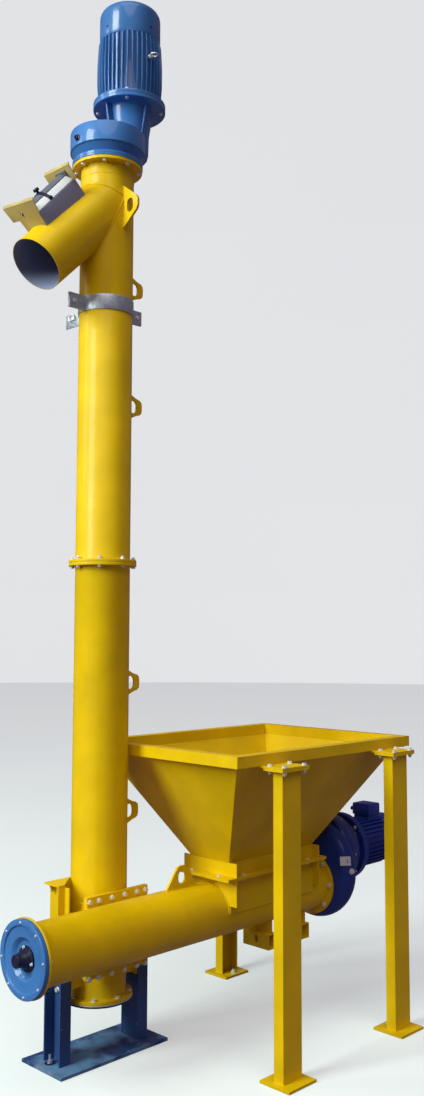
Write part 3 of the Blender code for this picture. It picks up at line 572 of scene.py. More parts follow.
class CONVEYOR_OT_tubes(bpy.types.Operator):
    """Skin the two flanged lengths of the vertical tube and its bottom cover"""
    bl_idname = "conveyor.tubes"
    bl_label = "Vertical tube"

    def execute(self, context):
        s = sizes()
        bore = s.tube_radius - s.tube_wall
        joint = MID_JOINT - HALF_GAP
        lower = turned("tube_lower_skin", [
            (bore, TUBE_FOOT), (s.flange_radius, TUBE_FOOT), (s.flange_radius, TUBE_FOOT + FLANGE_T),
            (s.tube_radius, TUBE_FOOT + FLANGE_T), (s.tube_radius, joint - FLANGE_T),
            (s.flange_radius, joint - FLANGE_T), (s.flange_radius, joint), (bore, joint)])
        carved(lower, slab("passage", (-0.080, -0.2, 0.450), (0.080, -0.05, 0.546), edge=0))
        carved(lower, slab("seat", (-0.150, -0.2, 0.3197), (0.150, -0.1002, 0.6203), edge=0))
        finished(lower, "yellow_enamel", "yellow", "lower_tube")
        joint = MID_JOINT + HALF_GAP
        end = CLAMP_JOINT - HALF_GAP
        upper = turned("tube_upper_skin", [
            (bore, joint), (s.flange_radius, joint), (s.flange_radius, joint + FLANGE_T),
            (s.tube_radius, joint + FLANGE_T), (s.tube_radius, end), (bore, end)])
        finished(upper, "yellow_enamel", "yellow", "upper_tube")
        low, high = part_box("bottom_cover")
        cover = turned("bottom_cover_skin", [
            (0, low[2]), (0.118, low[2]), (0.122, low[2] + 0.002), (s.flange_radius, low[2] + 0.002),
            (s.flange_radius, high[2]), (0, high[2])])
        finished(cover, "dark_enamel", "dark", "bottom_cover")
        rim = s.flange_radius + 0.0006
        gasket = turned("foot_gasket", [(s.flange_radius - 0.002, high[2] - 0.0034),
                                        (rim, high[2] - 0.0034), (rim, high[2] - 0.0002),
                                        (s.flange_radius - 0.002, high[2] - 0.0002)], edge=0.0002)
        finished(gasket, "plate_blank", "zinc")
        weld = s.weld_radius
        for name, level in (("foot", TUBE_FOOT + FLANGE_T), ("mid_low", MID_JOINT - FLANGE_T),
                            ("mid_high", MID_JOINT + FLANGE_T)):
            bead(f"weld_{name}", ring_points(s.tube_radius + weld * 0.2, level), weld, closed=True)
        return {"FINISHED"}


class CONVEYOR_OT_head(bpy.types.Operator):
    """Skin the discharge head with its sloping branch and weld seams"""
    bl_idname = "conveyor.head"
    bl_label = "Discharge head"

    def execute(self, context):
        s = sizes()
        bore = s.tube_radius - s.tube_wall
        low = CLAMP_JOINT + HALF_GAP
        top = HEAD_TOP
        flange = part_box("discharge_head")[1][0]
        head = turned("discharge_head_skin", [
            (0, low), (s.tube_radius, low), (s.tube_radius, top - FLANGE_T), (flange, top - FLANGE_T),
            (flange, top), (0, top)], edge=0)
        carved(head, cylinder("branch", s.tube_radius, 0, BRANCH_LENGTH, BRANCH), "UNION")
        carved(head, slab("hatch_hole", (0.0503, -0.0401, 0.1583), (0.2, 0.0401, 0.3677), BRANCH, 0))
        carved(head, cylinder("bore", bore, low - 0.01, top + 0.01))
        carved(head, turned("branch_bore", [
            (0, 0), (bore, 0), (bore, BRANCH_LENGTH - 0.013), (bore + 0.0034, BRANCH_LENGTH + 0.002),
            (0, BRANCH_LENGTH + 0.002)], place=BRANCH, edge=0))
        finished(head, "yellow_enamel", "yellow", "discharge_head", angle=28)
        liner = turned("branch_liner", [
            (bore - 0.0002, 0.100), (bore - 0.0002, BRANCH_LENGTH - 0.0120),
            (bore + 0.0026, BRANCH_LENGTH - 0.0008), (bore + 0.0018, BRANCH_LENGTH - 0.0008),
            (bore - 0.0012, BRANCH_LENGTH - 0.0124), (bore - 0.0016, 0.100)], place=BRANCH, edge=0)
        carved(liner, cylinder("main_bore", bore - 0.001, low, top))
        carved(liner, slab("liner_hole", (0.05, -0.04, 0.158), (0.2, 0.04, 0.368), BRANCH, 0))
        finished(liner, "inner_enamel", "dark")
        radius = s.tube_radius + 0.0008
        for word, fall in (("upper", -0.4142), ("lower", 2.4142)):
            points = []
            for step in range(49):
                angle = math.pi * step / 48 + math.pi / 2
                x = radius * math.cos(angle)
                points.append(Vector((x, radius * math.sin(angle), BRANCH_Z + fall * x)))
            bead(f"weld_branch_{word}", points, s.weld_radius)
        bead("weld_head_flange", ring_points(s.tube_radius + 0.0006, top - FLANGE_T), s.weld_radius,
             closed=True)
        bead("weld_head_seam", ring_points(s.tube_radius - 0.0006, HEAD_SEAM), 0.0018, closed=True)
        return {"FINISHED"}


def crown(across, rise=0.034):
    """Height of the lid's arch above the box at a distance across it."""
    half = HATCH_HALF - 0.004
    return 0.0043 + rise * (1 - min(1, abs(across) / half) ** 2)


def arched_band(name, low_y, high_y, low_z, high_z, lift, thick, edge=0.0006):
    """Strip of sheet that hugs the lid's arch, lying a little above it."""
    outer, inner = [], []
    for step in range(17):
        across = low_y + (high_y - low_y) * step / 16
        inner.append((crown(across) + lift, across))
        outer.append((crown(across) + lift + thick, across))
    return sheared_out(name, outer + inner[::-1], low_z, high_z, HATCH, edge)


class CONVEYOR_OT_hatch(bpy.types.Operator):
    """Build the inspection hatch: box, arched lid, end plates, strap, cross bar and knob"""
    bl_idname = "conveyor.hatch"
    bl_label = "Hatch"

    def execute(self, context):
        s = sizes()
        outer = s.tube_radius + CLEAR
        half = HATCH_HALF
        box = slab("hatch_box_skin", (-0.100, -half, -HATCH_LENGTH), (0, half, 0), HATCH, 0.0012)
        carved(box, slab("hollow", (-0.110, -half + 0.004, -HATCH_LENGTH + 0.004),
                         (0.010, half - 0.004, -0.004), HATCH, 0))
        carved(box, cylinder("tube", outer, 0, BRANCH_LENGTH, BRANCH))
        finished(box, "hatch_enamel", "hatch", "hatch_frame")
        fold = half - 0.004
        spread = [-fold + 2 * fold * step / 28 for step in range(29)]
        arch = [(crown(across), across) for across in spread]
        lid = sheared_out("hatch_lid_skin", [(CLEAR, -fold)] + arch + [(CLEAR, fold)],
                          0.003 - HATCH_LENGTH, -0.003, HATCH, 0.0014)
        finished(lid, "lid_enamel", "lid", "hatch_lid", angle=25)
        strap = arched_band("hatch_strap", -0.030, 0.034, -0.243, -0.0035, 0.0002, 0.0034)
        tab = slab("strap_end", (0.006, -0.040, -0.2495), (0.046, 0.020, -0.244), HATCH)
        finished(joined("hatch_strap", [strap, tab]), "strap_enamel", "hatch")
        bar = arched_band("hatch_bar", -0.051, 0.046, -0.1040, -0.0900, 0.0034, 0.0042)
        foot = slab("bar_foot", (0.0035, -0.0545, -0.1060), (0.0145, -0.0490, -0.0880), HATCH)
        spot = HATCH @ Matrix.Translation((0.0415, 0.006, -0.1080)) @ Matrix.Rotation(
            math.radians(90), 4, "Y")
        knob = turned("knob", [
            (0, 0), (0.008, 0), (0.008, 0.004), (0.005, 0.006), (0.005, 0.009), (0.0115, 0.010),
            (0.0125, 0.012), (0.0125, 0.019), (0.010, 0.0215), (0, 0.022)], 24, spot, edge=0.0005)
        finished(joined("hatch_knob", [bar, foot, knob]), "dark_enamel", "dark")
        self.plates(outer)
        points = []
        for step in range(25):
            angle = math.radians(-31 + 62 * step / 24)
            points.append(BRANCH @ Vector((s.tube_radius * math.cos(angle),
                                           s.tube_radius * math.sin(angle), 0.3965)))
        bead("weld_hatch_plate", points, 0.0025)
        return {"FINISHED"}

    def plates(self, outer):
        """Yellow end plates, each with its folded top lip"""
        lower = [(0.050, -0.0735), (-0.012, -0.0565), (-0.090, -0.0565), (-0.090, 0.0585),
                 (0.003, 0.062), (0.008, 0.100), (0.068, 0.106)]
        upper = [(0.056, -0.074), (-0.001, -0.074), (-0.005, -0.0565), (-0.110, -0.0565),
                 (-0.110, 0.0565), (-0.001, 0.0565), (0.014, 0.083), (0.058, 0.083)]
        lip = [(0.0005, 0.0), (0.0040, 0.0), (0.0130, 0.0085), (0.0105, 0.0105), (0.0, 0.0030)]
        back = Vector((0, 0, -1))
        for word, outline, low in (("lower", lower, CLEAR), ("upper", upper, -0.2543)):
            plate = sheared_out(f"hatch_{word}_skin", outline, low, low + 0.004, HATCH, 0.0005)
            carved(plate, cylinder("tube", outer, 0, BRANCH_LENGTH, BRANCH))
            if word == "lower":
                hole = added(bpy.ops.mesh.primitive_cylinder_add, "slot", vertices=24, radius=0.0055,
                             depth=0.1, scale=(2.8, 1, 1), location=(0.0204, 0.026, 0))
                carved(plate, settled(hole, HATCH))
            near, far = outline[0], outline[-1]
            across = Vector((far[0] - near[0], far[1] - near[1], 0))
            length = across.length
            across.normalize()
            up = back.cross(across)
            up = up if up.x > 0 else -up
            place = Matrix((up, back, up.cross(back))).transposed().to_4x4()
            start = near if up.cross(back).dot(across) > 0 else far
            place.translation = (start[0] - 0.001, start[1], low + 0.004)
            fold = sheared_out("lip", lip, 0, length, HATCH @ place, 0.0004)
            finished(joined(f"hatch_{word}_skin", [plate, fold]), "faded_enamel", "yellow",
                     f"hatch_plate_{word}")


class CONVEYOR_OT_clamp(bpy.types.Operator):
    """Skin the galvanised clamp halves with their ears, tab and bolts"""
    bl_idname = "conveyor.clamp"
    bl_label = "Clamp"

    def execute(self, context):
        s = sizes()
        low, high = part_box("clamp_front")[0][2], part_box("clamp_front")[1][2]
        radius = s.tube_radius
        for side, word in ((-1, "front"), (1, "back")):
            ring = turned(f"clamp_{word}_skin", [
                (radius + CLEAR, low), (radius + 0.004, low), (radius + 0.004, high),
                (radius + CLEAR, high)], edge=0.0005)
            ys = sorted((side * CLEAR, side * -0.2))
            carved(ring, slab("half", (-0.2, ys[0], low - 0.01), (0.2, ys[1], high + 0.01), edge=0))
            parts = [ring]
            for end in (-1, 1):
                xs = sorted((end * (radius + 0.002), end * 0.190))
                ys = sorted((side * 0.0004, side * 0.0053))
                parts.append(slab("ear", (xs[0], ys[0], low + 0.0005), (xs[1], ys[1], high - 0.0005)))
            if side > 0:
                parts.append(slab("tab", (-0.0025, radius + 0.0015, low + 0.0005),
                                  (0.0025, 0.265, high - 0.0005)))
            finished(joined(f"clamp_{word}_skin", parts), "galvanised", "zinc", f"clamp_{word}")
        middle = (low + high) / 2
        heads = [aimed((end * 0.165, -0.0053, middle), (0, -1, 0)) for end in (-1, 1)]
        fasteners("clamp_bolts", 0.009, heads + [aimed((-0.0025, 0.215, middle + 0.006), (-1, 0, 0))])
        ends = [aimed((end * 0.165, 0.0053, middle), (0, 1, 0)) for end in (-1, 1)]
        fasteners("clamp_nuts", 0.009, ends, "nut")
        hook = []
        for step in range(21):
            angle = math.radians(-40 + 250 * step / 20)
            hook.append((-0.012, 0.215 + 0.016 * math.cos(angle),
                         middle + 0.006 + 0.016 * math.sin(angle)))
        bead("clamp_hook", hook, 0.0035, "zinc_plate", "zinc", resolution=3)
        return {"FINISHED"}


def helix(name, radius, start, stop, hand, place):
    """Screw flight from a short radial line, wound by the Screw modifier and thickened."""
    pitch = sizes().flight_pitch
    piece = drawn(name, [(0.022, 0, 0), (radius, 0, 0)], close=False)
    turns = (stop - start) / pitch
    steps = int(40 * turns)
    applied(piece, "SCREW", axis="Z", angle=hand * math.tau * turns, screw_offset=stop - start,
            steps=steps, render_steps=steps, use_merge_vertices=False)
    outward(piece)
    applied(piece, "SOLIDIFY", thickness=0.005, offset=0)
    return settled(piece, place @ Matrix.Translation((0, 0, start)))


class CONVEYOR_OT_screws(bpy.types.Operator):
    """Skin the feeder screw and the lifting screw with smooth flights"""
    bl_idname = "conveyor.screws"
    bl_label = "Screws"

    def execute(self, context):
        for name, node, span, run, hand, place in (
                ("feeder_screw_skin", "feeder_screw", (-0.475, 1.034), (-0.30, 0.95), 1, FEEDER),
                ("lifting_screw_skin", "lifting_screw", (0.2135, 3.5195), (0.235, 3.385), -1,
                 UPRIGHT)):
            shaft = turned("shaft", [(0, span[0]), (0.030, span[0]), (0.030, span[1]), (0, span[1])],
                           48, place)
            flight = helix("flight", 0.093, run[0], run[1], hand, place)
            finished(joined(name, [shaft, flight]), "worn_steel", "screw", node, angle=50)
        return {"FINISHED"}


class CONVEYOR_OT_feeder(bpy.types.Operator):
    """Skin the feeder tube, its end cover and its seal housing"""
    bl_idname = "conveyor.feeder"
    bl_label = "Feeder tube"

    def execute(self, context):
        s = sizes()
        bore = s.tube_radius - s.tube_wall
        flange = FEED_FLANGE_R
        start, stop = FEED_START, FEED_STOP
        tube = turned("feeder_tube_skin", [
            (bore, start), (flange, start), (flange, start + 0.008), (s.tube_radius, start + 0.008),
            (s.tube_radius, stop - FLANGE_T), (flange, stop - FLANGE_T), (flange, stop),
            (bore, stop)], place=FEEDER)
        carved(tube, slab("crossing", (-0.1503, CROSS_SEAT, 0.3), (0.1503, 0, 0.7), edge=0))
        carved(tube, slab("inlet", (HOPPER_X - 0.24, FEED_Y - 0.085, FEED_Z),
                          (HOPPER_X + 0.24, FEED_Y + 0.085, 0.7), edge=0))
        finished(tube, "yellow_enamel", "yellow", "feeder_tube")
        for name, at in (("end", start + 0.008), ("drive", stop - FLANGE_T)):
            bead(f"weld_feeder_{name}", ring_points(s.tube_radius + 0.0006, at, place=FEEDER),
                 s.weld_radius, closed=True)
        face = start - 0.0188
        floor = start + 0.0027
        cover = turned("end_cover_skin", [
            (0, start + 0.0107), (0.100, start + 0.0107), (0.104, start + 0.0067),
            (0.104, start - CLEAR), (COVER_R, start - CLEAR), (COVER_R, face + 0.0015),
            (COVER_R - 0.0014, face), (0.1135, face), (0.1115, face + 0.0015), (0.110, face + 0.0055),
            (0.1085, face + 0.006), (0.0740, face + 0.006), (0.0720, face + 0.0070),
            (0.0615, floor - 0.0020), (0.0590, floor), (0, floor)], place=FEEDER, edge=0.0006)
        finished(cover, "blue_enamel", "blue", "feeder_end_cover")
        seat = floor - CLEAR
        tip = seat - 0.0494
        seal = turned("seal_skin", [
            (0, seat), (0.043, seat), (0.043, seat - 0.0065), (0.0420, seat - 0.0075),
            (0.0345, seat - 0.0080), (0.0325, seat - 0.0140), (0.0265, seat - 0.0280),
            (0.0236, seat - 0.0340), (0.0230, tip + 0.0015), (0.0218, tip), (0, tip)], 48, FEEDER)
        finished(seal, "dark_enamel", "dark", "feeder_seal")
        small = s.small_bolt
        fasteners("end_cover_bolts", small * 0.50, around(0.1215, face, 8, -6, FEEDER, flip=True))
        fasteners("end_cover_nuts", small, around(BOLT_RING, start + 0.008, 8, -6, FEEDER), "nut")
        fasteners("seal_bolts", 0.0055, around(0.0385, seat - 0.0075, 3, -15, FEEDER, flip=True))
        heads = around(0.1205, stop - FLANGE_T, 8, -3, FEEDER, flip=True)
        fasteners("drive_flange_bolts", s.bolt_size, heads)
        return {"FINISHED"}


def fin_model(name, inner, outer, low, high, thick, bulge=0.0):
    """One radial cooling fin with sloping ends, fuller in the middle."""
    outline = [(inner, low), (outer - 0.004, low + 0.002), (outer, low + 0.012),
               (outer + bulge, low + (high - low) * 0.30), (outer + bulge, low + (high - low) * 0.62),
               (outer, high - 0.012), (outer - 0.004, high - 0.002), (inner, high)]
    side = Matrix(((1, 0, 0, 0), (0, 0, -1, 0), (0, 1, 0, 0), (0, 0, 0, 1)))
    return sheared_out(name, outline, -thick / 2, thick / 2, side, thick * 0.2)


def fin_ring(fin, count, place, offset=0.0):
    """Fins at even turns round a motor's axis; the model is thrown away."""
    turns = [place @ Matrix.Rotation(math.tau * (step + offset) / count, 4, "Z")
             for step in range(count)]
    fins = copied("fins", fin, turns)
    bpy.data.objects.remove(fin)
    return fins


def rounded_top(centre, radius, level, steps):
    """Profile points of a quarter round, from a cowl's side wall up to its top."""
    points = []
    for step in range(1, steps + 1):
        angle = math.radians(90 * step / steps)
        points.append((centre + radius * math.cos(angle), level + radius * math.sin(angle)))
    return points


def fan_grille(name, count, spacing, low, high, shade, place=UPRIGHT, shift=0.0):
    """Concentric rings over the fan."""
    rings = []
    for number in range(1, count + 1):
        radius = spacing * number
        rings.append(turned("ring", [(radius, low), (radius + 0.003, low), (radius + 0.003, high),
                                     (radius, high)], 48, place, shift, 0))
    return finished(joined(name, rings), shade, "motor")


def plug(name, root, height, place, shade, slot):
    """Screw plug with a collar and a socket in its head."""
    piece = turned(name, [
        (0, root), (0.013, root), (0.013, 0.003), (0.009, 0.004), (0.009, height),
        (0.006, height + 0.001), (0.006, height - 0.004), (0, height - 0.004)], 24, place)
    return finished(piece, shade, slot)


class CONVEYOR_OT_top_drive(bpy.types.Operator):
    """Skin the top gear unit, motor, fan cowl and terminal box, and add fins, plug and eye bolt"""
    bl_idname = "conveyor.top_drive"
    bl_label = "Top drive"

    def execute(self, context):
        s = sizes()
        low = HEAD_TOP + CLEAR
        x = TOP_MOTOR_X
        under, joint = 3.810, 3.825
        drum = turned("top_gear_skin", [
            (0, low), (0.1448, low), (0.1455, low + 0.001), (0.1455, 3.5278), (0.1445, 3.5286),
            (0.1445, 3.5294), (0.1455, 3.5302), (0.1455, 3.5390), (0.1445, 3.5400), (0.124, 3.541),
            (0.1490, 3.576), (0.1535, 3.578), (0.1550, 3.580), (0.1550, 3.655), (0.1530, 3.660),
            (0.148, 3.662), (0, 3.662)], edge=0)
        neck = turned("neck", [
            (0, 3.583), (0.049, 3.583), (0.066, 3.592), (0.078, 3.607), (0.082, 3.625),
            (0.084, 3.700), (0.0935, 3.767), (0.100, 3.806), (0.108, under + 0.004),
            (0, under + 0.004)], shift=x, edge=0)
        carved(drum, neck, "UNION")
        rib = [(x - 0.040, 3.650), (x - 0.103, 3.650), (x - 0.117, 3.744), (x - 0.130, under + 0.003),
               (x - 0.040, under + 0.003)]
        across = Matrix(((1, 0, 0, 0), (0, 0, -1, 0.004), (0, 1, 0, 0), (0, 0, 0, 1)))
        carved(drum, sheared_out("rib", rib, 0, 0.008, across, 0.001), "UNION")
        along = Matrix(((0, 0, 1, x - 0.004), (1, 0, 0, 0), (0, 1, 0, 0), (0, 0, 0, 1)))
        for row in (-1, 1):
            rib = [(row * 0.040, 3.680), (row * 0.0835, 3.680), (row * 0.088, 3.705),
                   (row * 0.115, under + 0.0035), (row * 0.040, under + 0.0035)]
            carved(drum, sheared_out("rib", rib, 0, 0.008, along, 0.001), "UNION")
        plate = turned("adapter", [(0, under), (0.151, under), (0.153, under + 0.002),
                                   (0.153, joint), (0, joint)], shift=x, edge=0)
        carved(drum, plate, "UNION")
        finished(drum, "blue_enamel", "blue", "top_gearbox", angle=28)
        self.motor(s, x, joint)
        heads = around(0.134, under, 4, 45, shift=x, flip=True)
        fasteners("adapter_bolts", s.small_bolt, heads)
        fasteners("adapter_nuts", s.small_bolt, around(0.1405, 3.8400, 4, 45, shift=x))
        spot = aimed((-0.155, 0.004, 3.606), (-1, 0, 0))
        plug("oil_plug", -0.002, 0.011, spot, "dark_enamel", "dark")
        return {"FINISHED"}

    def motor(self, s, x, joint):
        seat = joint + CLEAR
        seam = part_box("top_motor_cowl")[0][2]
        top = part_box("top_motor_cowl")[1][2]
        core = turned("top_motor_skin", [
            (0, seat), (0.153, seat), (0.153, seat + 0.013), (0.1505, seat + 0.0147),
            (0.128, seat + 0.017), (0.124, seat + 0.024), (0.1235, seam - 0.012),
            (0.1285, seam - 0.004), (0.1285, seam - CLEAR), (0, seam - CLEAR)], shift=x)
        fin = fin_model("fin", 0.120, 0.1335, seat + 0.016, seam - 0.004, 0.0046, 0.0045)
        fins = fin_ring(fin, s.top_fins, Matrix.Translation((x, 0, 0)))
        finished(joined("top_motor_skin", [core, fins]), "motor_enamel", "motor", "top_motor")
        profile = [(0, seam), (0.1283, seam), (0.129, seam + 0.001), (0.129, top - 0.036)]
        profile += rounded_top(0.095, 0.034, top - 0.034, 8)
        profile += [(0.070, top - 0.0005), (0.066, top - 0.004), (0, top - 0.004)]
        cowl = turned("top_cowl_skin", profile, shift=x, edge=0.0005)
        finished(cowl, "motor_enamel", "motor", "top_motor_cowl")
        fan_grille("top_cowl_grille", 5, 0.012, top - 0.006, top - 0.0012, "motor_enamel", shift=x)
        screws = around(0.1288, seam + 0.030, 4, 1.7, shift=x)
        screws = [place @ Matrix.Rotation(math.radians(90), 4, "Y") for place in screws]
        fasteners("cowl_screws", 0.004, screws, shade="dark_enamel")
        turn = Matrix.Translation((x, 0, 0)) @ Matrix.Rotation(math.radians(75), 4, "Z")
        box = slab("top_terminal_skin", (0.08, -0.055, 3.920), (0.176, 0.055, 4.040), turn, 0.004)
        lid = slab("lid", (0.1745, -0.052, 3.923), (0.180, 0.052, 4.037), turn, 0.002)
        carved(box, cylinder("body", 0.1363, 3.8, 4.2, Matrix.Translation((x, 0, 0))))
        finished(joined("top_terminal_skin", [box, lid]), "motor_enamel", "motor", "top_terminal_box")
        eye = added(bpy.ops.mesh.primitive_torus_add, "eye_bolt", major_radius=0.014,
                    minor_radius=0.0035, major_segments=32, minor_segments=12,
                    location=(x, -0.1560, 4.008))
        settled(eye)
        stem = turned("stem", [(0, 0), (0.011, 0), (0.011, 0.007), (0.006, 0.010), (0.006, 0.020),
                               (0, 0.020)], 20, aimed((x, -0.125, 4.008), (0, -1, 0)))
        finished(joined("eye_bolt", [eye, stem]), "zinc_plate", "zinc")


class CONVEYOR_OT_feeder_drive(bpy.types.Operator):
    """Skin the feeder's gear unit, motor, cowl and terminal box, and add fins, plug and plate"""
    bl_idname = "conveyor.feeder_drive"
    bl_label = "Feeder drive"

    def execute(self, context):
        s = sizes()
        low = FEED_STOP + CLEAR
        up = FEED_MOTOR_UP
        joint = 1.266
        gear = turned("feeder_gear_skin", [
            (0, low), (0.176, low), (0.190, low + 0.003), (0.201, low + 0.008), (0.208, low + 0.015),
            (0.2125, low + 0.025), (0.214, low + 0.036), (0.2135, low + 0.050),
            (0.210, low + 0.061), (0.203, low + 0.070), (0.190, low + 0.077), (0, low + 0.080)],
            place=FEEDER, shift=0.061, edge=0)
        rear = turned("rear", [
            (0, low + 0.060), (0.166, low + 0.060), (0.172, low + 0.067), (0.172, low + 0.104),
            (0.169, low + 0.112), (0.160, low + 0.117), (0.158, low + 0.121), (0.158, low + 0.153),
            (0.155, low + 0.160), (0.132, low + 0.169), (0.122, joint - 0.048),
            (0.120, joint - 0.030), (0.124, joint - 0.023), (0.148, joint - 0.022),
            (0.150, joint - 0.020), (0.150, joint), (0, joint)], place=FEEDER, shift=up, edge=0)
        carved(gear, rear, "UNION")
        # The feeder gear unit takes the darker blue copy: painted shade.
        finished(gear, "shaded_blue_enamel", "blue", "feeder_gearbox", angle=30)
        self.motor(s, up, joint)
        heads = around(0.136, joint - 0.022, 4, 45, FEEDER, shift=up, flip=True)
        fasteners("feeder_adapter_bolts", s.small_bolt, heads)
        rims = around(0.165, low + 0.117, 6, 30, FEEDER, shift=up)
        fasteners("gear_case_bolts", 0.006, rims)
        spot = aimed((1.062, FEED_Y - 0.2115, 0.572), (-0.12, -1, 0.05))
        plug("gear_plug", -0.004, 0.010, spot, "zinc_plate", "zinc")
        normal = Vector((-0.58, -0.78, 0.22))
        place = aimed((1.0425, FEED_Y - 0.193, FEED_Z + 0.118), normal)
        plate = slab("blank_plate", (-0.024, -0.019, -0.0005), (0.024, 0.019, 0.0012), place, 0.0005)
        finished(plate, "plate_blank", "zinc")
        return {"FINISHED"}

    def motor(self, s, up, joint):
        seat = joint + CLEAR
        seam = 1.530
        # Motor, fins, cowl, grille and terminal box take the darker blue copy too: painted shade.
        core = turned("feeder_motor_skin", [
            (0, seat), (0.150, seat), (0.150, seat + 0.009), (0.148, seat + 0.011),
            (0.120, seat + 0.013), (0.108, seat + 0.030), (0.101, seat + 0.040), (0.101, 1.518),
            (0.109, 1.524), (0.109, seam - CLEAR), (0, seam - CLEAR)], place=FEEDER, shift=up)
        fin = fin_model("fin", 0.098, 0.1135, seat + 0.030, 1.524, 0.0042)
        fins = fin_ring(fin, s.feeder_fins, FEEDER @ Matrix.Translation((up, 0, 0)), 0.5)
        seat_up = up + 0.1135 + 0.006
        riser = slab("riser", (up + 0.080, -0.042, 1.422), (seat_up, 0.042, 1.501), FEEDER, 0.002)
        finished(joined("feeder_motor_skin", [core, fins, riser]), "shaded_blue_enamel", "motor",
                 "feeder_motor")
        profile = [(0, seam + CLEAR), (0.1095, seam + CLEAR), (0.110, 1.531), (0.110, 1.590)]
        profile += rounded_top(0.082, 0.028, 1.590, 7)
        profile += [(0.062, 1.6175), (0.058, 1.614), (0, 1.614)]
        cowl = turned("feeder_cowl_skin", profile, place=FEEDER, shift=up, edge=0.0005)
        finished(cowl, "shaded_blue_enamel", "motor", "feeder_motor_cowl")
        fan_grille("feeder_cowl_grille", 4, 0.0125, 1.612, 1.6172, "shaded_blue_enamel", FEEDER, up)
        top = 0.795 - FEED_Z
        box = slab("feeder_terminal_skin", (seat_up + CLEAR, -0.048, 1.417),
                   (top - 0.005, 0.048, 1.506), FEEDER, 0.003)
        lid = slab("lid", (top - 0.0055, -0.0465, 1.4185), (top, 0.0465, 1.5045), FEEDER, 0.002)
        gland = turned("gland", [(0, -0.002), (0.012, -0.002), (0.012, 0.010), (0.009, 0.013),
                                 (0.009, 0.022), (0, 0.022)], 20,
                       aimed((1.440, FEED_Y + 0.048, FEED_Z + seat_up + 0.022), (0, 1, 0)))
        finished(joined("feeder_terminal_skin", [box, lid, gland]), "shaded_blue_enamel", "motor",
                 "feeder_terminal_box")


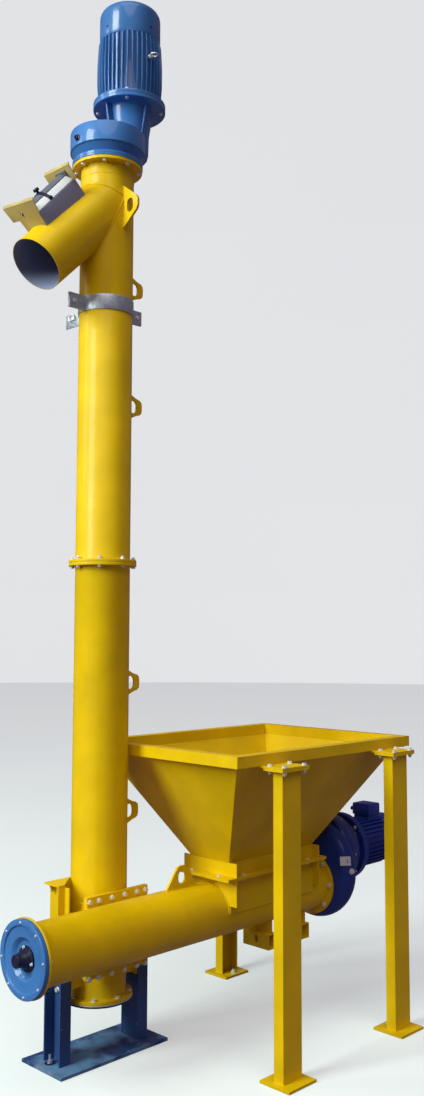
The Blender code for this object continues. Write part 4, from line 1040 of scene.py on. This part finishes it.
class CONVEYOR_OT_fixings(bpy.types.Operator):
    """Bolt the flanges, crossing, inlet, legs and base, and weld the plates"""
    bl_idname = "conveyor.fixings"
    bl_label = "Bolts and welds"

    def execute(self, context):
        s = sizes()
        size = s.bolt_size
        fasteners("mid_bolts", size, around(BOLT_RING, MID_JOINT - FLANGE_T, 8, flip=True))
        fasteners("mid_nuts", size, around(BOLT_RING, MID_JOINT + FLANGE_T, 8), "nut")
        fasteners("foot_bolts", size, around(BOLT_RING, TUBE_FOOT + FLANGE_T, 8))
        fasteners("head_bolts", size, around(0.128, HEAD_TOP - FLANGE_T, 8, flip=True))
        front, back = [], []
        for z in (0.602, 0.3255):
            for x in (-0.138, -0.0945, -0.0315, 0.0315, 0.0945, 0.138):
                front.append(aimed((x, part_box("crossing_flange")[0][1], z), (0, -1, 0)))
                back.append(aimed((x, CROSS_BACK, z), (0, 1, 0)))
        for z in (0.394, 0.464, 0.534):
            for x in (-0.140, 0.140):
                back.append(aimed((x, CROSS_BACK, z), (0, 1, 0)))
        fasteners("crossing_bolts", size, front)
        fasteners("crossing_nuts", size * 0.95, back, "nut")
        self.inlet(s)
        self.legs(s)
        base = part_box("base_plate")[1][2]
        webs = [aimed((side * 0.1711, 0.026, z), (side, 0, 0))
                for side in (-1, 1) for z in (0.262, 0.430)]
        fasteners("bracket_bolts", size, webs)
        washer = turned("washer", [(0, 0), (0.020, 0), (0.020, 0.0030), (0, 0.0030)], 32, edge=0.0004)
        spots = [Matrix.Translation((x, 0.012, base)) for x in (-0.212, 0.212)]
        finished(copied("anchor_washers", washer, spots), "dark_enamel", "zinc")
        bpy.data.objects.remove(washer)
        fasteners("anchor_nuts", 0.010, [spot @ Matrix.Translation((0, 0, 0.003)) for spot in spots],
                  shade="galvanised")
        stud = cylinder("stud", 0.0050, 0.004, 0.031, sides=16)
        finished(copied("anchor_studs", stud, spots), "galvanised", "zinc")
        bpy.data.objects.remove(stud)
        self.welds(s)
        return {"FINISHED"}

    def inlet(self, s):
        heads, ends = [], []
        spots = [(x, y) for x in (-0.200, 0, 0.200) for y in (-0.131, 0.131)]
        spots += [(x, y) for x in (-0.283, 0.283) for y in (-0.076, 0.076)]
        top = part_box("hopper_collar")[0][2] + 0.006
        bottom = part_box("inlet_spout")[1][2] - 0.006
        for x, y in spots:
            heads.append(aimed((HOPPER_X + x, FEED_Y + y, top), (0, 0, 1)))
            ends.append(aimed((HOPPER_X + x, FEED_Y + y, bottom), (0, 0, -1)))
        fasteners("inlet_bolts", s.small_bolt, heads)
        fasteners("inlet_nuts", s.small_bolt, ends, "nut")

    def legs(self, s):
        heads, ends = [], []
        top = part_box("leg_near_left")[1][2]
        for end, side in LEG_SPOTS:
            for x in (-0.056, 0.056):
                for y in (-0.034, 0.036):
                    spot = (HOPPER_X + end * LEG_X + x, FEED_Y + side * (LEG_Y + y))
                    heads.append(aimed((*spot, top + 0.0083), (0, 0, 1)))
                    ends.append(aimed((*spot, top - 0.008), (0, 0, -1)))
        fasteners("leg_bolts", s.bolt_size, heads)
        fasteners("leg_nuts", s.bolt_size, ends, "nut")
        feet = []
        for end, side in LEG_SPOTS:
            spot = (HOPPER_X + end * LEG_X, FEED_Y + side * (LEG_Y - 0.045), 0.010)
            feet.append(aimed(spot, (0, 0, 1)))
        fasteners("foot_anchors", 0.012, feet, "nut")

    def welds(self, s):
        radius = s.tube_radius
        seat = radius + 0.0005
        for number, z in enumerate(LUG_LEVELS, 1):
            for side, word in NEAR_FAR:
                y = side * 0.0058
                run = line_points((seat, y, z - 0.064), (seat, y, z + 0.064))
                bead(f"weld_lug_{number}_{word}", run, 0.0024)
        level = FEED_Z + radius + 0.0006
        for side, word in NEAR_FAR:
            y = FEED_Y + side * 0.0058
            bead(f"weld_feeder_lug_{word}", line_points((0.153, y, level), (0.320, y, level)), 0.0024)
        for side, word in LEFT_RIGHT:
            x = side * 0.0058
            bead(f"weld_top_lug_{word}", line_points((x, -seat, 3.240), (x, -seat, 3.414)), 0.0024)
        drop = math.sqrt(radius ** 2 - (FEED_Y - CROSS_SEAT) ** 2)
        for word, side in (("upper", 1), ("lower", -1)):
            level = FEED_Z + side * drop
            run = line_points((-0.149, CROSS_SEAT, level), (0.149, CROSS_SEAT, level), 30)
            bead(f"weld_crossing_{word}", run, 0.0030)
        arch = radius + 0.0012
        for end, word in LEFT_RIGHT:
            points = []
            for step in range(37):
                angle = math.radians(180 * step / 36)
                points.append((HOPPER_X + end * 0.2600, FEED_Y + arch * math.cos(angle),
                               FEED_Z + arch * math.sin(angle)))
            bead(f"weld_inlet_{word}", points, 0.0026)
            for side, row in NEAR_FAR:
                spot = (HOPPER_X + end * 0.501, FEED_Y + side * 0.4222)
                run = line_points((*spot, 1.119), (*spot, 1.158), 8)
                bead(f"weld_rim_{row}_{word}", run, 0.0015)
        for side, word in NEAR_FAR:
            y = FEED_Y + side * (radius + 0.0030)
            run = line_points((HOPPER_X - 0.256, y, FEED_Z), (HOPPER_X + 0.256, y, FEED_Z), 40)
            bead(f"weld_inlet_{word}", run, 0.0026)


NODE_SHADES = {"stand": "stand_enamel", "yellow": "yellow_enamel", "dark": "dark_enamel",
               "blue": "blue_enamel", "motor": "motor_enamel", "hatch": "hatch_enamel",
               "lid": "lid_enamel", "zinc": "galvanised", "screw": "worn_steel"}


class CONVEYOR_OT_plates(bpy.types.Operator):
    """Paint the plates and sections that keep their own shape, and break their sharp edges"""
    bl_idname = "conveyor.plates"
    bl_label = "Plates and sections"

    def execute(self, context):
        for entry in frame["record"]["subparts"]:
            node = NODES[entry["node"]]
            shade = SHADES[NODE_SHADES[entry["material_slot"]]]
            if entry["node"] == "base_plate":
                shade = SHADES["base_enamel"]
            for slot in node.material_slots:
                slot.material = shade
            if not node.material_slots:
                node.data.materials.append(shade)
            if not node.hide_render:
                merge = node.modifiers.new("Merge", "WELD")
                merge.merge_threshold = 0.00002
                soft = node.modifiers.new("Soft edges", "BEVEL")
                soft.width = 0.0008
                soft.segments = 2
                soft.limit_method = "ANGLE"
                soft.angle_limit = math.radians(40)
        return {"FINISHED"}


class CONVEYOR_OT_stage(bpy.types.Operator):
    """Lay the floor, set the lights and place the camera"""
    bl_idname = "conveyor.stage"
    bl_label = "Stage"

    def execute(self, context):
        floor = added(bpy.ops.mesh.primitive_plane_add, "studio_floor", size=60)
        bpy.ops.object.mode_set(mode="EDIT")
        bpy.ops.mesh.subdivide(number_cuts=4)
        bpy.ops.object.mode_set(mode="OBJECT")
        made, tree, shader, where = shade_base("floor_paint")
        grey = tuple(colours().floor)
        cloud = ranged(tree, noise(tree, where, 0.7, 3.0), 0.3, 0.7, 0, 1)
        tree.links.new(mixed(tree, cloud, grey, scaled(grey, 1.05)), shader.inputs["Base Color"])
        shader.inputs["Roughness"].default_value = 0.8
        shader.inputs["Emission Color"].default_value = (0.97, 0.98, 1.0, 1)
        shader.inputs["Emission Strength"].default_value = 0.38
        floor.data.materials.append(made)
        settled(floor, Matrix.Translation((0, 0, -0.0005)))
        floor.visible_diffuse = False
        floor.visible_glossy = False
        world = bpy.data.worlds.new("studio")
        world.use_nodes = True
        sky = world.node_tree.nodes["Background"]
        sky.inputs["Color"].default_value = (1.0, 0.76, 0.94, 1)
        sky.inputs["Strength"].default_value = 0.16
        bpy.context.scene.world = world
        self.backdrop()
        self.window("key_window", (-8.2, 0.9, 6.2), (0, 0, 1.6), (3.2, 6.0), 1000, (0.93, 1.0, 0.94))
        self.window("rim_window", (-3.6, 3.4, 5.4), (0, 0, 3.6), (1.0, 2.0), 45, (0.95, 1.0, 1.0))
        self.sun("fill_light", 228, 55, 1.25, 50, (1.0, 0.90, 0.92))
        self.camera()
        return {"FINISHED"}

    def backdrop(self):
        """Pale plain dome far behind everything; it is seen by the camera and lights nothing"""
        dome = added(bpy.ops.mesh.primitive_uv_sphere_add, "studio_backdrop", segments=64,
                     ring_count=32, radius=28)
        settled(dome)
        made, tree, shader, where = shade_base("backdrop_paint")
        pale = colours().backdrop
        cloud = ranged(tree, noise(tree, where, 0.05, 1.0), 0.3, 0.7, 0, 1)
        tree.links.new(mixed(tree, cloud, tuple(pale), scaled(tuple(pale), 1.03)),
                       shader.inputs["Emission Color"])
        shader.inputs["Base Color"].default_value = (0, 0, 0, 1)
        shader.inputs["Emission Strength"].default_value = 1.0
        dome.data.materials.append(made)
        dome.visible_diffuse = False
        dome.visible_glossy = False
        dome.visible_transmission = False
        dome.visible_shadow = False

    def sun(self, name, azimuth, elevation, strength, spread, colour):
        """Soft distant light from a compass direction, as from a wide window or an overcast sky"""
        light = bpy.data.lights.new(name, "SUN")
        light.energy = strength
        light.angle = math.radians(spread)
        light.color = colour
        turn, rise = math.radians(azimuth), math.radians(elevation)
        away = (math.cos(turn) * math.cos(rise), math.sin(turn) * math.cos(rise), math.sin(rise))
        lamp = bpy.data.objects.new(name, light)
        lamp.matrix_world = aimed(Vector(away) * 8, away)
        bpy.context.collection.objects.link(lamp)

    def window(self, name, spot, target, size, power, colour):
        """Tall soft window, which also shows as a pale strip in the gloss"""
        light = bpy.data.lights.new(name, "AREA")
        light.shape = "RECTANGLE"
        light.size, light.size_y = size
        light.energy = power
        light.color = colour
        lamp = bpy.data.objects.new(name, light)
        lamp.matrix_world = aimed(spot, Vector(spot) - Vector(target))
        bpy.context.collection.objects.link(lamp)

    def camera(self):
        turn, pitch, roll = 0.791364, 0.089272, 0.0029543
        focal, centre, height = 1014.594, 539.843, 1096
        ahead = Vector((math.sin(turn) * math.cos(pitch), math.cos(turn) * math.cos(pitch),
                        math.sin(pitch)))
        right = Vector((math.cos(turn), -math.sin(turn), 0))
        up = right.cross(ahead)
        right, up = (right * math.cos(roll) + up * math.sin(roll),
                     up * math.cos(roll) - right * math.sin(roll))
        place = Matrix((right, up, -ahead)).transposed().to_4x4()
        place.translation = (-2.58474, -3.17077, 1.61312)
        data = bpy.data.cameras.new("camera")
        data.sensor_fit = "VERTICAL"
        data.sensor_height = 36
        data.lens = 36 * focal / height
        data.shift_y = (centre - height / 2) / height
        data.clip_end = 100
        camera = bpy.data.objects.new("camera", data)
        camera.matrix_world = place
        bpy.context.collection.objects.link(camera)
        bpy.context.scene.camera = camera


class CONVEYOR_PT_panel(bpy.types.Panel):
    """Sizes, colours and building steps of the conveyor"""
    bl_idname = "CONVEYOR_PT_panel"
    bl_label = "Screw Conveyor"
    bl_space_type = "VIEW_3D"
    bl_region_type = "UI"
    bl_category = "Conveyor"

    def draw(self, context):
        for group in (context.scene.conveyor_sizes, context.scene.conveyor_colours):
            box = self.layout.box()
            for key in group.__annotations__:
                box.prop(group, key)
        for step in STEPS:
            self.layout.operator(step.bl_idname)


STEPS = (
    CONVEYOR_OT_finishes,
    CONVEYOR_OT_stage,
    CONVEYOR_OT_tubes,
    CONVEYOR_OT_head,
    CONVEYOR_OT_hatch,
    CONVEYOR_OT_clamp,
    CONVEYOR_OT_screws,
    CONVEYOR_OT_feeder,
    CONVEYOR_OT_top_drive,
    CONVEYOR_OT_feeder_drive,
    CONVEYOR_OT_fixings,
    CONVEYOR_OT_plates,
)
CLASSES = (ConveyorSizes, ConveyorColours) + STEPS + (CONVEYOR_PT_panel,)


def register():
    for item in CLASSES:
        bpy.utils.register_class(item)
    bpy.types.Scene.conveyor_sizes = bpy.props.PointerProperty(type=ConveyorSizes)
    bpy.types.Scene.conveyor_colours = bpy.props.PointerProperty(type=ConveyorColours)


def unregister():
    del bpy.types.Scene.conveyor_colours
    del bpy.types.Scene.conveyor_sizes
    for item in reversed(CLASSES):
        bpy.utils.unregister_class(item)


def main():
    register()
    bpy.context.scene.view_settings.view_transform = "Standard"
    for step in STEPS:
        group, name = step.bl_idname.split(".")
        getattr(getattr(bpy.ops, group), name)()


if __name__ == "__main__":
    main()
